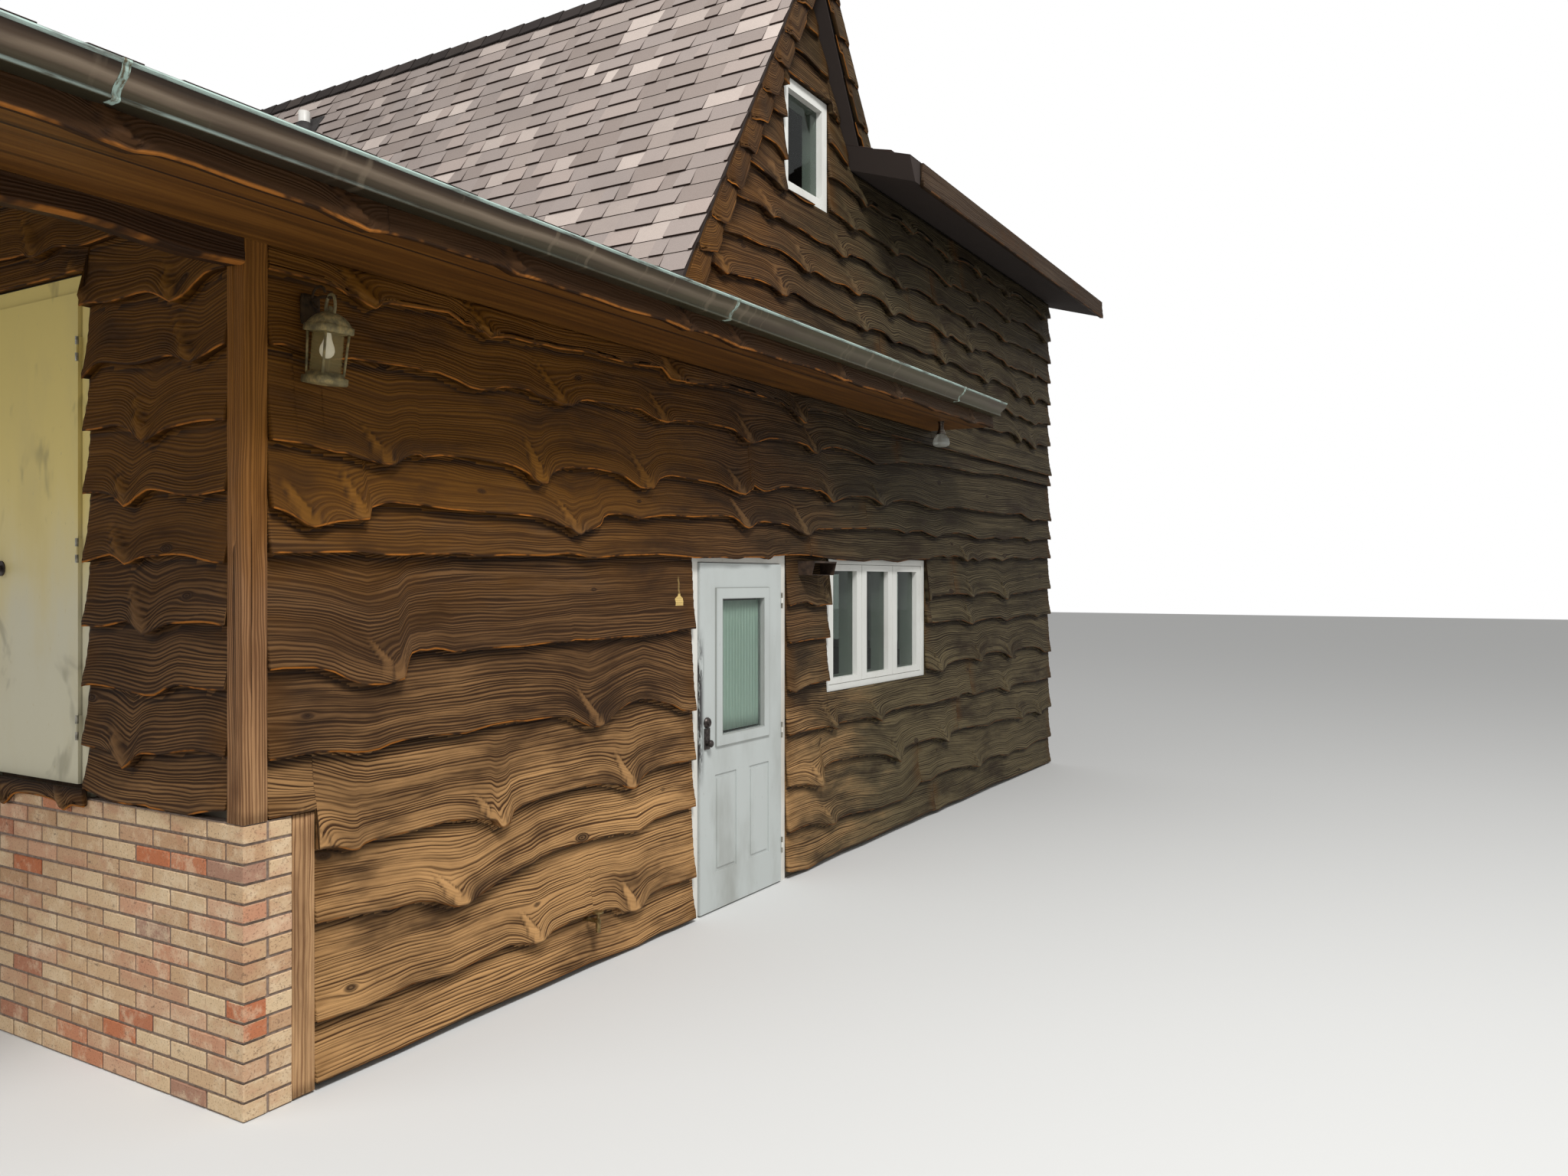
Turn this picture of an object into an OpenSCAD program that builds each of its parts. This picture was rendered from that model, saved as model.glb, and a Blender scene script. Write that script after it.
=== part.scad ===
// Lakeside timber cabin with live-edge lapped boards, a low wing roof, a steep cross gable and an open porch.
// The house is drawn with its porch corner at X 0, Y 0 and the ground at Z 0, then moved so that the
// origin is the middle of the ground floor's underside. X runs along the front wall, Y into the house.

/* [Plan] */
// Length of the long front wall, from the porch corner to the lake corner
house_l = 9400; // [9200:50:10400]
// Depth of the house, from the front boards to the back boards
house_w = 7300; // [6800:50:8200]
// Thickness of a framed wall without its boards
wall_t = 140; // [110:5:180]
// Depth that the lapped boards take on a wall
skin_t = 50; // [50:1:60]
// Length of the open porch bay beyond the house
porch_l = 3200; // [2400:50:4200]

/* [Floors] */
// Height of the ground floor slab
ground_h = 60; // [40:5:100]
// Height of the timber floor behind the store door
store_floor_z = 1105; // [1085:5:1180]
// Length of the timber floor behind the store door
store_floor_l = 2300; // [1200:50:2500]
// Height of the upper floor
upper_floor_z = 3050; // [2950:10:3100]
// Thickness of a timber floor
floor_t = 200; // [140:10:240]

/* [Brick base] */
// Height of the brick base under the porch wall
brick_h = 1065; // [1000:5:1080]
// Length of its return on the front wall
brick_return = 200; // [195:5:260]

/* [Posts and beams] */
// Side of a square post
post_w = 100; // [90:5:120]
// Width of the trim post that closes the low board ends
trim_w = 100; // [80:5:120]
// Height of the porch beams
beam_h = 300; // [240:10:340]
// Thickness of the porch beams
beam_t = 90; // [70:5:100]

/* [Low roof] */
// Height of the low roof's surface at its eave
low_eave_z = 3385; // [3370:5:3420]
// Reach of the low roof past the front boards
low_over = 560; // [450:10:650]
// Slope of the low roof
low_deg = 14; // [12:0.5:16]
// Thickness of a roof, rafters and boarding together
roof_t = 150; // [120:5:170]
// Reach of the low roof past the porch posts
porch_over = 300; // [200:10:400]
// Where the pent eave on the front wall ends
pent_end = 6200; // [6150:50:7000]
// Height of the flat soffit under the low eave
soffit_z = 3165; // [3130:5:3170]

/* [Steep roof] */
// Place of the steep ridge along the front wall
steep_x = 4150; // [4100:10:4250]
// Height of the steep ridge
steep_z = 6255; // [6200:5:6400]
// Slope of the steep roof
steep_deg = 59.3; // [58:0.1:60]
// Reach of the steep roof past the gable boards
rake_over = 80; // [60:10:150]

/* [Lake roof] */
// Distance of the lake roof's eave under the steep ridge
lake_eave_down = 1355; // [1295:10:1395]
// Reach of the lake roof past the front boards
lake_over = 450; // [350:10:550]
// Slope of the lake roof
lake_deg = 16.5; // [15:0.5:17]
// Reach of the lake roof past the lake wall
lake_rake = 300; // [200:10:400]

/* [Eaves] */
// Thickness of fascia and soffit boards
eave_board_t = 25; // [19:1:32]
// Thickness of the roof's nose over the gutter
nose_t = 25; // [20:1:40]
// Distance of the fascia's live edge under the soffit
fascia_drop = 20; // [10:2:40]
// Width of the gutter
gutter_w = 125; // [110:5:150]
// Height of the gutter
gutter_h = 120; // [100:5:130]
// Wall of the gutter
gutter_t = 4; // [3:0.5:6]

/* [Lapped boards] */
// Thickness of a live-edge board
board_t = 22; // [18:1:23]
// Length by which a board laps the one below
lap = 60; // [40:5:65]
// Depth of the deepest lobe on a live edge
lobe_d = 80; // [40:5:90]
// Height of the swell along a live edge
swell_d = 16; // [8:1:22]

/* [Entry door] */
// Where the entry door's slab begins on the front wall
entry_x = 2888; // [2860:2:2920]
// Width of the entry door's slab
entry_w = 914; // [860:2:920]
// Height of the entry door's slab
entry_h = 2032; // [1980:2:2040]
// Height of the slab's foot over the ground
entry_foot = 10; // [8:1:20]
// Thickness of a door slab
slab_t = 45; // [40:1:50]
// Gap between a door slab and its frame
door_gap = 5; // [5:0.5:6]
// Width of a door frame's face
frame_w = 72; // [60:2:90]

/* [Store door] */
// Where the store door's slab begins on the porch wall
store_y = 1100; // [1080:5:1140]
// Width of the store door's slab
store_w = 660; // [640:5:720]
// Height of the store door's slab
store_h = 2000; // [1950:5:2005]

/* [Windows] */
// Where the triple window's frame begins on the front wall
window_x = 4430; // [4420:5:4500]
// Height of the triple window's sill
window_z = 1165; // [1120:5:1200]
// Width of a triple window's frame
window_w = 1695; // [1650:5:1750]
// Height of a triple window's frame
window_h = 935; // [900:5:960]
// Width of one pane
pane_w = 370; // [340:5:380]
// Width of a mullion between two panes
mullion_w = 162; // [140:2:170]
// Width of the gable window
gable_window_w = 600; // [500:10:620]
// Height of the gable window
gable_window_h = 750; // [600:10:760]
// Distance of the gable window's sill under the steep ridge
gable_window_down = 1775; // [1755:10:1815]

/* [Hidden] */

timber = "#5b3a22";
painted = "#e9e8e2";
shingle = "#8a7f78";
copper = "#5a4a3c";
$fn = 48;

in_w = skin_t + wall_t;
mid_y = house_w / 2;
low_tan = tan(low_deg);
lake_tan = tan(lake_deg);
low_tv = roof_t / cos(low_deg);
lake_tv = roof_t / cos(lake_deg);
steep_th = roof_t / sin(steep_deg);
steep_tv = roof_t / cos(steep_deg);
lake_eave_z = steep_z - lake_eave_down;
gable_window_z = steep_z - gable_window_down;
low_ridge_z = low_eave_z + (mid_y + low_over) * low_tan;
lake_ridge_z = lake_eave_z + (mid_y + lake_over) * lake_tan;
plate_z = low_eave_z + (skin_t + low_over) * low_tan - low_tv;
foot_z = low_eave_z + (in_w + low_over) * low_tan + 3;
lake_plate_z = lake_eave_z + (skin_t + lake_over) * lake_tan - lake_tv;
porch_x = -porch_l;
ground_gap = 10;
window_frame_y = 30;
frame_y = 30;
slab_y = 15;
glass_t = 6;
seat_gap = 0.3;
cap_lift = seat_gap;
far = 20000;

// The steep roof's outer line: where it stands on the X axis at a height
function steep_at(z) = steep_x - (steep_z - z) / tan(steep_deg);
// The low roof's underside over a place across the house
function low_under(y) = low_eave_z + (min(y, house_w - y) + low_over) * low_tan - low_tv;

// Moves the house so that the ground floor's middle is the origin
module place() {
    translate([-house_l / 2, -house_w / 2, 0]) children();
}

// The same piece on the back of the house
module at_back() {
    translate([0, house_w, 0]) mirror([0, 1, 0]) children();
}

// The piece and its twin on the back of the house
module front_and_back() {
    children();
    at_back() children();
}

// A section across the house, drawn as Y and Z, carried along X
module along_x(x0, x1) {
    translate([x0, 0, 0]) rotate([90, 0, 90]) linear_extrude(x1 - x0) children();
}

// An elevation, drawn as X and Z, carried along Y
module along_y(y0, y1) {
    translate([0, y1, 0]) rotate([90, 0, 0]) linear_extrude(y1 - y0) children();
}

module block(x0, x1, y0, y1, z0, z1) {
    translate([x0, y0, z0]) cube([x1 - x0, y1 - y0, z1 - z0]);
}

module rect(x0, x1, y0, y1) {
    translate([x0, y0]) square([x1 - x0, y1 - y0]);
}

// Floors

module ground_floor() {
    color("#b9b4a8") place() {
        block(in_w, house_l - in_w, in_w, house_w - in_w, 0, ground_h);
        block(entry_x - door_gap, entry_x + entry_w + door_gap, slab_y + slab_t + door_gap, in_w, 0, ground_h);
    }
}

module store_floor() {
    color(timber) place() {
        block(in_w, in_w + store_floor_l, in_w, house_w - in_w, store_floor_z - floor_t, store_floor_z);
        block(skin_t, in_w, store_y - door_gap, store_y + store_w + door_gap, brick_h, store_floor_z);
    }
}

module upper_floor() {
    color(timber) place() block(steep_at(upper_floor_z), house_l - in_w, in_w, house_w - in_w,
        upper_floor_z - floor_t, upper_floor_z);
}

// Brick base and posts

module brick_base() {
    color("#b07a55") place() {
        block(0, in_w, 0, house_w, 0, brick_h);
        front_and_back() block(0, brick_return, 0, in_w, 0, brick_h);
    }
}

module corner_posts() {
    color(timber) place() front_and_back() {
        block(0, post_w, 0, post_w, brick_h, low_under(0));
        block(brick_return, brick_return + trim_w, 0, skin_t, ground_gap, brick_h);
    }
}

module porch_posts() {
    color(timber) place() {
        front_and_back() block(porch_x, porch_x + post_w, 0, post_w, 0, low_under(0) - beam_h);
        block(porch_x, porch_x + post_w, mid_y - post_w / 2, mid_y + post_w / 2, 0, ridge_beam_z);
    }
}

ridge_beam_z = low_ridge_z - low_tv - beam_h;

// The front beam's lower edge keeps the live edge of the log
module beam_outline() {
    n = 40;
    top = low_under(0);
    from = porch_x + post_w;
    polygon(concat(
        [[porch_x, top - beam_h], [from, top - beam_h]],
        [for (i = [1:n]) let (u = i / n) [
            from - from * u,
            top - beam_h + 14 * sin(720 * u) + 26 * pow(sin(540 * u), 4)
        ]],
        [[0, top], [porch_x, top]]
    ));
}

module porch_beams() {
    color(timber) place() front_and_back() along_y(0, beam_t) beam_outline();
}

module ridge_beam() {
    color(timber) place() difference() {
        block(porch_x, skin_t, mid_y - beam_t / 2, mid_y + beam_t / 2, ridge_beam_z, low_ridge_z - low_tv);
        low_roof_solid();
        at_back() low_roof_solid();
    }
}

// Walls

module front_wall_left() {
    color(timber) place() {
        block(brick_return, entry_x - frame_w, skin_t, in_w, 0, brick_h);
        translate([0, 0, brick_h]) linear_extrude(plate_z - brick_h) polygon([
            [post_w, skin_t], [entry_x - frame_w, skin_t], [entry_x - frame_w, in_w],
            [in_w, in_w], [in_w, post_w], [post_w, post_w]
        ]);
    }
}

module front_wall_over_door() {
    color(timber) place() block(entry_x - frame_w, entry_x + entry_w + frame_w, skin_t, in_w,
        entry_foot + entry_h + frame_w, plate_z);
}

module front_wall_right() {
    color(timber) place() along_y(skin_t, in_w) difference() {
        rect(entry_x + entry_w + frame_w, house_l - in_w, 0, plate_z);
        rect(window_x, window_x + window_w, window_z, window_z + window_h);
    }
}

// The upper wall's outline under the steep gable and the lake roof
function upper_outline(edge) = [
    [steep_at(plate_z), plate_z],
    [steep_at(foot_z), foot_z],
    [steep_at(foot_z) + steep_th, foot_z],
    [steep_x, steep_z - steep_tv],
    [2 * steep_x - steep_at(lake_plate_z) - steep_th, lake_plate_z],
    [edge, lake_plate_z],
    [edge, plate_z]
];

module gable_window_hole(grow) {
    rect(steep_x - gable_window_w / 2 - grow, steep_x + gable_window_w / 2 + grow,
        gable_window_z - grow, gable_window_z + gable_window_h + grow);
}

module upper_wall() {
    along_y(skin_t, in_w) difference() {
        polygon(upper_outline(house_l - in_w));
        gable_window_hole(0);
    }
}

module front_upper_wall() {
    color(timber) place() upper_wall();
}

module back_upper_wall() {
    color(timber) place() at_back() upper_wall();
}

back_windows = [1500, 6200];

module back_wall() {
    color(timber) place() at_back() {
        along_y(skin_t, in_w) difference() {
            rect(brick_return, house_l - in_w, 0, plate_z);
            for (x = back_windows) rect(x, x + window_w, window_z, window_z + window_h);
        }
        block(post_w, in_w, skin_t, post_w, brick_h, plate_z);
    }
}

lake_window_down = 970;
lake_rows = [window_z, lake_eave_z - lake_window_down];
lake_places = [0.14, 0.63];

module lake_holes() {
    for (z = lake_rows) for (u = lake_places)
        rect(house_w * u, house_w * u + window_w, z, z + window_h);
}

module lake_wall() {
    color(timber) place() along_x(house_l - in_w, house_l - skin_t) difference() {
        polygon([
            [skin_t, 0], [house_w - skin_t, 0], [house_w - skin_t, lake_plate_z],
            [mid_y, lake_ridge_z - lake_tv], [skin_t, lake_plate_z]
        ]);
        lake_holes();
    }
}

// The porch wall's outline between two places, up to the low roof
module porch_outline(y0, y1, z0) {
    peak = y0 < mid_y && y1 > mid_y ? [[mid_y, low_under(mid_y)]] : [];
    polygon(concat([[y0, low_under(y0)], [y0, z0], [y1, z0], [y1, low_under(y1)]], peak));
}

module porch_wall_front() {
    color(timber) place() along_x(skin_t, in_w) porch_outline(post_w, store_y - frame_w, brick_h);
}

module porch_wall_over_door() {
    color(timber) place() along_x(skin_t, in_w)
        porch_outline(store_y - frame_w, store_y + store_w + frame_w, store_foot_z + store_h + frame_w);
}

module porch_wall_back() {
    color(timber) place() along_x(skin_t, in_w)
        porch_outline(store_y + store_w + frame_w, house_w - post_w, brick_h);
}

store_foot_z = store_floor_z + 8;

// Live-edge lapped boards: each leans on the one below, and its lower edge keeps the shape of the log

function lobe(u) = pow(max(0, 1 - abs(u)), 1.5);

// Height of a live edge under its course line, at one place along the wall
function live_edge(x, drops, phase) =
    swell_d * sin(x * 360 / 1310 + phase) + 0.5 * swell_d * sin(x * 360 / 470 + 3 * phase)
    - max([for (d = drops) d[1] * lobe((x - d[0]) / (x < d[0] ? d[2] : d[3]))]);

// Places, depths and widths of the lobes along one board
function lobes(length, seed) =
    let (n = ceil(length / 850), r = rands(0, 1, 4 * n, seed))
    [for (k = [0:n - 1]) [
        (k + 0.2 + 0.6 * r[4 * k]) * length / n,
        lobe_d * (0.45 + 0.55 * r[4 * k + 1]),
        90 + 150 * r[4 * k + 2],
        70 + 110 * r[4 * k + 3]
    ]];

// One course in its own plane: a straight top edge and a live lower edge
// The edge stays above a floor, measured from the course line
module course_outline(x0, x1, height, seed, edge_floor) {
    drops = lobes(x1 - x0, seed);
    n = ceil((x1 - x0) / 60);
    phase = 47 * seed;
    polygon(concat(
        [for (i = [0:n]) let (x = (x1 - x0) * i / n) [x0 + x, max(edge_floor, live_edge(x, drops, phase))]],
        [[x1, height], [x0, height]]
    ));
}

// Height of a read live edge at a place
function edge_at(edge, x) =
    let (n = len(edge))
    x <= edge[0][0] ? edge[0][1] : x >= edge[n - 1][0] ? edge[n - 1][1] :
    [for (i = [0:n - 2]) if (edge[i][0] <= x && x < edge[i + 1][0])
        edge[i][1] + (edge[i + 1][1] - edge[i][1]) * (x - edge[i][0]) / (edge[i + 1][0] - edge[i][0])][0];

// The course line lies just under the highest place of a read live edge
function edge_level(edge) = max([for (p = edge) p[1]]) - 6;
function edge_levels(edges) = [for (e = edges) edge_level(e)];
// Where a course must clear the one below: at its deepest lobe, and at the lower board's upper edge
function edge_reach(edge) = [edge_level(edge) - min([for (p = edge) p[1]]), -lap];
function edge_reaches(edges) = [for (e = edges) edge_reach(e)];

// One course along a read live edge, given as places and heights over the ground
module read_outline(x0, x1, height, edge, edge_floor) {
    level = edge_level(edge);
    polygon(concat(
        [[x0, max(edge_floor, edge_at(edge, x0) - level)]],
        [for (p = edge) if (p[0] > x0 + 2 && p[0] < x1 - 2) [p[0], max(edge_floor, p[1] - level)]],
        [[x1, max(edge_floor, edge_at(edge, x1) - level)], [x1, height], [x0, height]]
    ));
}

// The lean of a course, as a tangent, that clears the course below at a reach under its course line
function lean_over(below, gauge, reach) =
    ((lap + reach) * below + board_t * sqrt(1 + below * below) + seat_gap) / (gauge + lap + reach);

free_reach = [lobe_d + 1.5 * swell_d, -lap];

// The leans of all courses, each from the ones below it
function leans(levels, reaches, belows = [], i = 0) =
    i > len(levels) - 2 ? [] :
    let (
        gauge = levels[i + 1] - levels[i],
        reach = i < len(reaches) ? reaches[i] : free_reach,
        here = len(belows) == 0 ? board_t / gauge
            : max([for (b = belows) for (r = reach) lean_over(b, gauge, r)])
    )
    concat([here], leans(levels, reaches, [here], i + 1));

// All courses of a wall, drawn as X along the wall and Z up, on a wall face at Y = skin_t.
// The children are the region that the boards cover. Courses without a read edge get a generated one.
// belows: the leans of the courses that the first one laps; on_ground: the first course is the lowest
module lapped_boards(x0, x1, levels, seed, edges = [], belows = [], on_ground = true) {
    lean = leans(levels, edge_reaches(edges), belows);
    for (i = [0:len(levels) - 2]) {
        gauge = levels[i + 1] - levels[i];
        tilt = atan(lean[i]);
        height = (gauge + lap) / cos(tilt);
        edge_floor = i == 0 && on_ground ? ground_gap - levels[0] : -4 * lobe_d;
        translate([0, skin_t - height * sin(tilt), levels[i]])
            rotate([90 - tilt, 0, 0])
                linear_extrude(board_t)
                    intersection() {
                        if (i < len(edges)) read_outline(x0, x1, height, edges[i], edge_floor);
                        else course_outline(x0, x1, height, seed + i, edge_floor);
                        translate([0, -levels[i]]) children();
                    }
    }
}

// Left of the entry door: places and heights of the live edges, from the ground up
left_edges = [
    [
        [300, 28], [700, 22], [1100, 34], [1500, 24], [1900, 30], [2274, -1], [2363, 18], [2480, 25],
        [2630, 18]
    ],
    [
        [300, 262], [520, 250], [760, 268], [980, 244], [1150, 262], [1320, 274], [1405, 260], [1483, 235],
        [1533, 232], [1614, 262], [1740, 272], [1872, 271], [1939, 261], [2008, 266], [2102, 250],
        [2151, 216], [2236, 202], [2299, 205], [2376, 249], [2507, 266], [2739, 253]
    ],
    [
        [328, 636], [474, 625], [637, 605], [794, 601], [876, 581], [986, 531], [1047, 526], [1281, 585],
        [1402, 604], [1475, 611], [1528, 629], [1614, 640], [1726, 644], [1962, 640], [2189, 624],
        [2282, 611], [2433, 649], [2634, 656], [2747, 654]
    ],
    [
        [200, 905], [328, 919], [379, 913], [462, 882], [492, 880], [516, 896], [559, 902], [752, 901],
        [959, 906], [1109, 889], [1225, 863], [1253, 827], [1267, 821], [1302, 828], [1331, 844],
        [1337, 869], [1353, 881], [1404, 898], [1555, 912], [1866, 917], [1994, 906], [2114, 883],
        [2183, 855], [2225, 847], [2267, 859], [2296, 885], [2353, 908], [2472, 926], [2625, 928],
        [2753, 920]
    ],
    [
        [95, 1282], [294, 1286], [408, 1275], [468, 1263], [528, 1258], [591, 1260], [654, 1275],
        [719, 1282], [865, 1283], [1056, 1270], [1218, 1289], [1295, 1291], [1367, 1291], [1441, 1283],
        [1634, 1284], [1714, 1277], [1766, 1262], [1828, 1230], [1891, 1207], [1955, 1200], [2021, 1218],
        [2101, 1261], [2197, 1294], [2296, 1307], [2397, 1298], [2594, 1248], [2672, 1213], [2753, 1200]
    ],
    [
        [89, 1611], [157, 1614], [294, 1607], [374, 1586], [444, 1551], [486, 1535], [547, 1523],
        [622, 1519], [713, 1536], [719, 1564], [752, 1634], [800, 1647], [841, 1644], [883, 1649],
        [927, 1644], [991, 1629], [1156, 1637], [1404, 1632], [1602, 1641], [1763, 1642], [1769, 1647],
        [1891, 1640], [2101, 1645], [2296, 1641], [2472, 1647], [2625, 1659], [2769, 1664]
    ]
];

// Right of the entry door
right_edges = [
    [
        [3826, 50], [4116, 15], [4362, 34], [4623, 47], [4956, 31], [5503, 45], [5834, 39], [6151, 47],
        [6336, 22], [6566, 42], [6887, 26], [7635, 42], [8122, 27], [8649, 19], [9280, 2]
    ],
    [
        [3826, 294], [3997, 307], [4116, 308], [4262, 293], [4388, 258], [4465, 249], [4543, 272],
        [4704, 274], [5192, 234], [5503, 234], [5633, 226], [5733, 244], [5973, 312], [6188, 293],
        [6336, 322], [6644, 322], [7055, 290], [7272, 249], [7360, 276], [7542, 300], [7825, 287],
        [8047, 249], [8122, 264], [8276, 279], [8594, 247], [8704, 268], [8928, 286], [9220, 278]
    ],
    [
        [3826, 599], [3951, 597], [4092, 581], [4287, 533], [4319, 546], [4332, 657], [4465, 681],
        [4677, 677], [4899, 666], [5102, 650], [5314, 618], [5471, 570], [5551, 525], [5650, 622],
        [5800, 637], [6224, 635], [6411, 606], [6527, 562], [6605, 626], [6724, 642], [6970, 638],
        [7228, 625], [7428, 606], [7496, 595], [7682, 616], [8022, 605], [8328, 581], [8433, 562],
        [8486, 582], [8649, 601], [8871, 587], [9014, 537], [9055, 578], [9280, 593]
    ],
    [
        [3814, 933], [3928, 931], [4116, 939], [4413, 929], [4504, 901], [4533, 897], [4549, 939],
        [5043, 930], [5132, 915], [5228, 878], [5314, 926], [5439, 943], [5834, 943], [6079, 923],
        [6224, 917], [6411, 928], [6724, 930], [6789, 917], [6846, 942], [7013, 944], [7184, 905],
        [7316, 918], [7589, 924], [7825, 921], [7972, 879], [8047, 864], [8097, 894], [8224, 917],
        [8540, 919], [8928, 898], [9102, 903]
    ],
    [
        [3811, 1238], [3948, 1202], [4028, 1220], [4151, 1240], [4343, 1246], [6050, 1227], [6379, 1170],
        [6440, 1181], [6541, 1222], [6708, 1243], [6902, 1247], [7147, 1237], [7309, 1198], [7380, 1235],
        [7476, 1264], [7671, 1270], [7873, 1255], [8003, 1226], [8136, 1173], [8243, 1239], [8381, 1259],
        [8665, 1263], [8901, 1251], [9053, 1224], [9177, 1179]
    ],
    [
        [3928, 1529], [4151, 1539], [4354, 1540], [6050, 1592], [6281, 1584], [6687, 1591], [6880, 1585],
        [7079, 1541], [7193, 1563], [7356, 1574], [7597, 1584], [7848, 1581], [7951, 1556], [8029, 1545],
        [8243, 1574], [8665, 1590], [8871, 1575], [8961, 1554], [9114, 1578]
    ],
    [
        [3811, 1759], [3968, 1785], [4089, 1793], [4235, 1759], [4321, 1768], [6069, 1764], [6164, 1767],
        [6183, 1801], [6281, 1803], [6480, 1816], [6793, 1817], [6990, 1810], [7102, 1780], [7193, 1804],
        [7356, 1819], [7597, 1825], [7797, 1805], [7925, 1760], [8003, 1750], [8109, 1793], [8381, 1808],
        [8811, 1822], [9114, 1844]
    ]
];

// Over the door and the window, along the whole wall
upper_edges = [
    [
        [89, 2035], [498, 2048], [622, 2038], [719, 2039], [806, 2047], [812, 2044], [1043, 2051],
        [1089, 2044], [1142, 2042], [1317, 2051], [1555, 2052], [1714, 2066], [1814, 2057], [1863, 2047],
        [1929, 2048], [2099, 2062], [2449, 2074], [2733, 2066], [2781, 2061], [3102, 2069], [3186, 2062],
        [3251, 2063], [3316, 2073], [3520, 2076], [3590, 2065], [3638, 2075], [3645, 2087], [3808, 2096],
        [3998, 2100], [4144, 2099], [4542, 2076], [4931, 2070], [5077, 2083], [5277, 2086], [5513, 2072],
        [5704, 2092], [5989, 2104], [6108, 2104], [6260, 2130], [6448, 2139], [6529, 2122], [6676, 2143],
        [6845, 2134], [6948, 2097], [7125, 2132], [7270, 2101], [7419, 2130], [7689, 2140], [7889, 2116],
        [8012, 2139], [8265, 2157], [8529, 2146], [8757, 2142], [8945, 2168], [9213, 2164]
    ],
    [
        [89, 2202], [131, 2194], [163, 2182], [238, 2138], [266, 2134], [379, 2161], [526, 2176],
        [532, 2222], [610, 2247], [654, 2252], [800, 2247], [804, 2252], [865, 2244], [959, 2239],
        [1367, 2237], [1517, 2231], [1594, 2216], [1674, 2192], [1706, 2191], [1739, 2168], [1772, 2155],
        [1790, 2159], [1814, 2173], [1887, 2189], [1959, 2214], [1967, 2247], [2013, 2268], [2082, 2276],
        [2170, 2275], [2279, 2261], [2468, 2285], [2567, 2291], [2781, 2293], [3081, 2316], [3186, 2312],
        [3240, 2291], [3294, 2258], [3338, 2248], [3394, 2262], [3462, 2292], [3555, 2299], [3759, 2295],
        [3858, 2286], [4051, 2229], [4117, 2232], [4184, 2267], [4266, 2285], [4272, 2280], [4814, 2306],
        [5303, 2324], [5540, 2322], [5676, 2298], [5816, 2326], [5989, 2332], [6168, 2303], [6291, 2288],
        [6448, 2324], [6777, 2342], [7054, 2332], [7234, 2305], [7419, 2310], [7689, 2332], [7929, 2319],
        [8222, 2349], [8529, 2358], [8711, 2327], [8898, 2347], [9213, 2364]
    ],
    [
        [89, 2449], [238, 2448], [374, 2428], [420, 2430], [468, 2419], [591, 2400], [641, 2402],
        [674, 2417], [706, 2441], [752, 2456], [793, 2458], [804, 2449], [896, 2465], [1056, 2472],
        [1288, 2465], [1345, 2457], [1389, 2445], [1434, 2428], [1460, 2401], [1501, 2389], [1547, 2394],
        [1571, 2428], [1618, 2459], [1674, 2477], [1755, 2489], [1766, 2484], [1912, 2494], [2099, 2484],
        [2152, 2472], [2270, 2424], [2316, 2421], [2372, 2424], [2449, 2483], [2507, 2502], [2567, 2511],
        [3029, 2499], [3229, 2454], [3294, 2450], [3406, 2494], [3412, 2520], [3474, 2500], [3532, 2489],
        [3590, 2493], [3759, 2532], [3883, 2541], [4144, 2545], [4225, 2535], [4265, 2543], [4349, 2518],
        [4423, 2467], [4699, 2530], [4979, 2547], [5101, 2533], [5226, 2491], [5303, 2495], [5433, 2536],
        [5594, 2557], [5845, 2560], [6229, 2522], [6385, 2524], [6545, 2551], [6777, 2564], [7307, 2559],
        [7970, 2565], [8440, 2595], [8619, 2559], [8804, 2538], [8945, 2559]
    ],
    [
        [89, 2791], [147, 2801], [345, 2777], [444, 2798], [786, 2813], [804, 2805], [883, 2812],
        [991, 2795], [1068, 2774], [1129, 2773], [1191, 2785], [1273, 2807], [1376, 2818], [1454, 2815],
        [1493, 2800], [1573, 2791], [1656, 2773], [1740, 2784], [1784, 2811], [1849, 2826], [2187, 2831],
        [2286, 2836], [2428, 2794], [2494, 2788], [2593, 2813], [2733, 2826], [2878, 2834], [3029, 2835],
        [3186, 2831], [3251, 2807], [3316, 2770], [3366, 2766], [3451, 2784], [3590, 2821], [3698, 2830],
        [3845, 2834], [3979, 2833], [4077, 2824], [4137, 2786], [4187, 2776], [4280, 2819], [4406, 2846],
        [4492, 2855], [4714, 2851], [5003, 2817], [5126, 2790], [5303, 2811], [5594, 2853], [5931, 2865],
        [6291, 2884], [6777, 2893], [7125, 2889], [7808, 2930]
    ],
    [
        [102, 3129], [314, 3134], [365, 3131], [417, 3118], [517, 3076], [558, 3067], [593, 3098],
        [650, 3116], [969, 3143], [1112, 3086], [1147, 3084], [1182, 3064], [1227, 3079], [1320, 3097],
        [1454, 3096], [1573, 3110], [1656, 3108], [1872, 3129], [2126, 3125], [2299, 3132], [2507, 3151],
        [2593, 3088], [2953, 3123], [3186, 3141], [3590, 3137], [3789, 3128], [3883, 3094], [4018, 3020],
        [4077, 3032], [4117, 3125], [4238, 3146], [4602, 3148], [4760, 3127], [4924, 3094]
    ]
];

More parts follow.
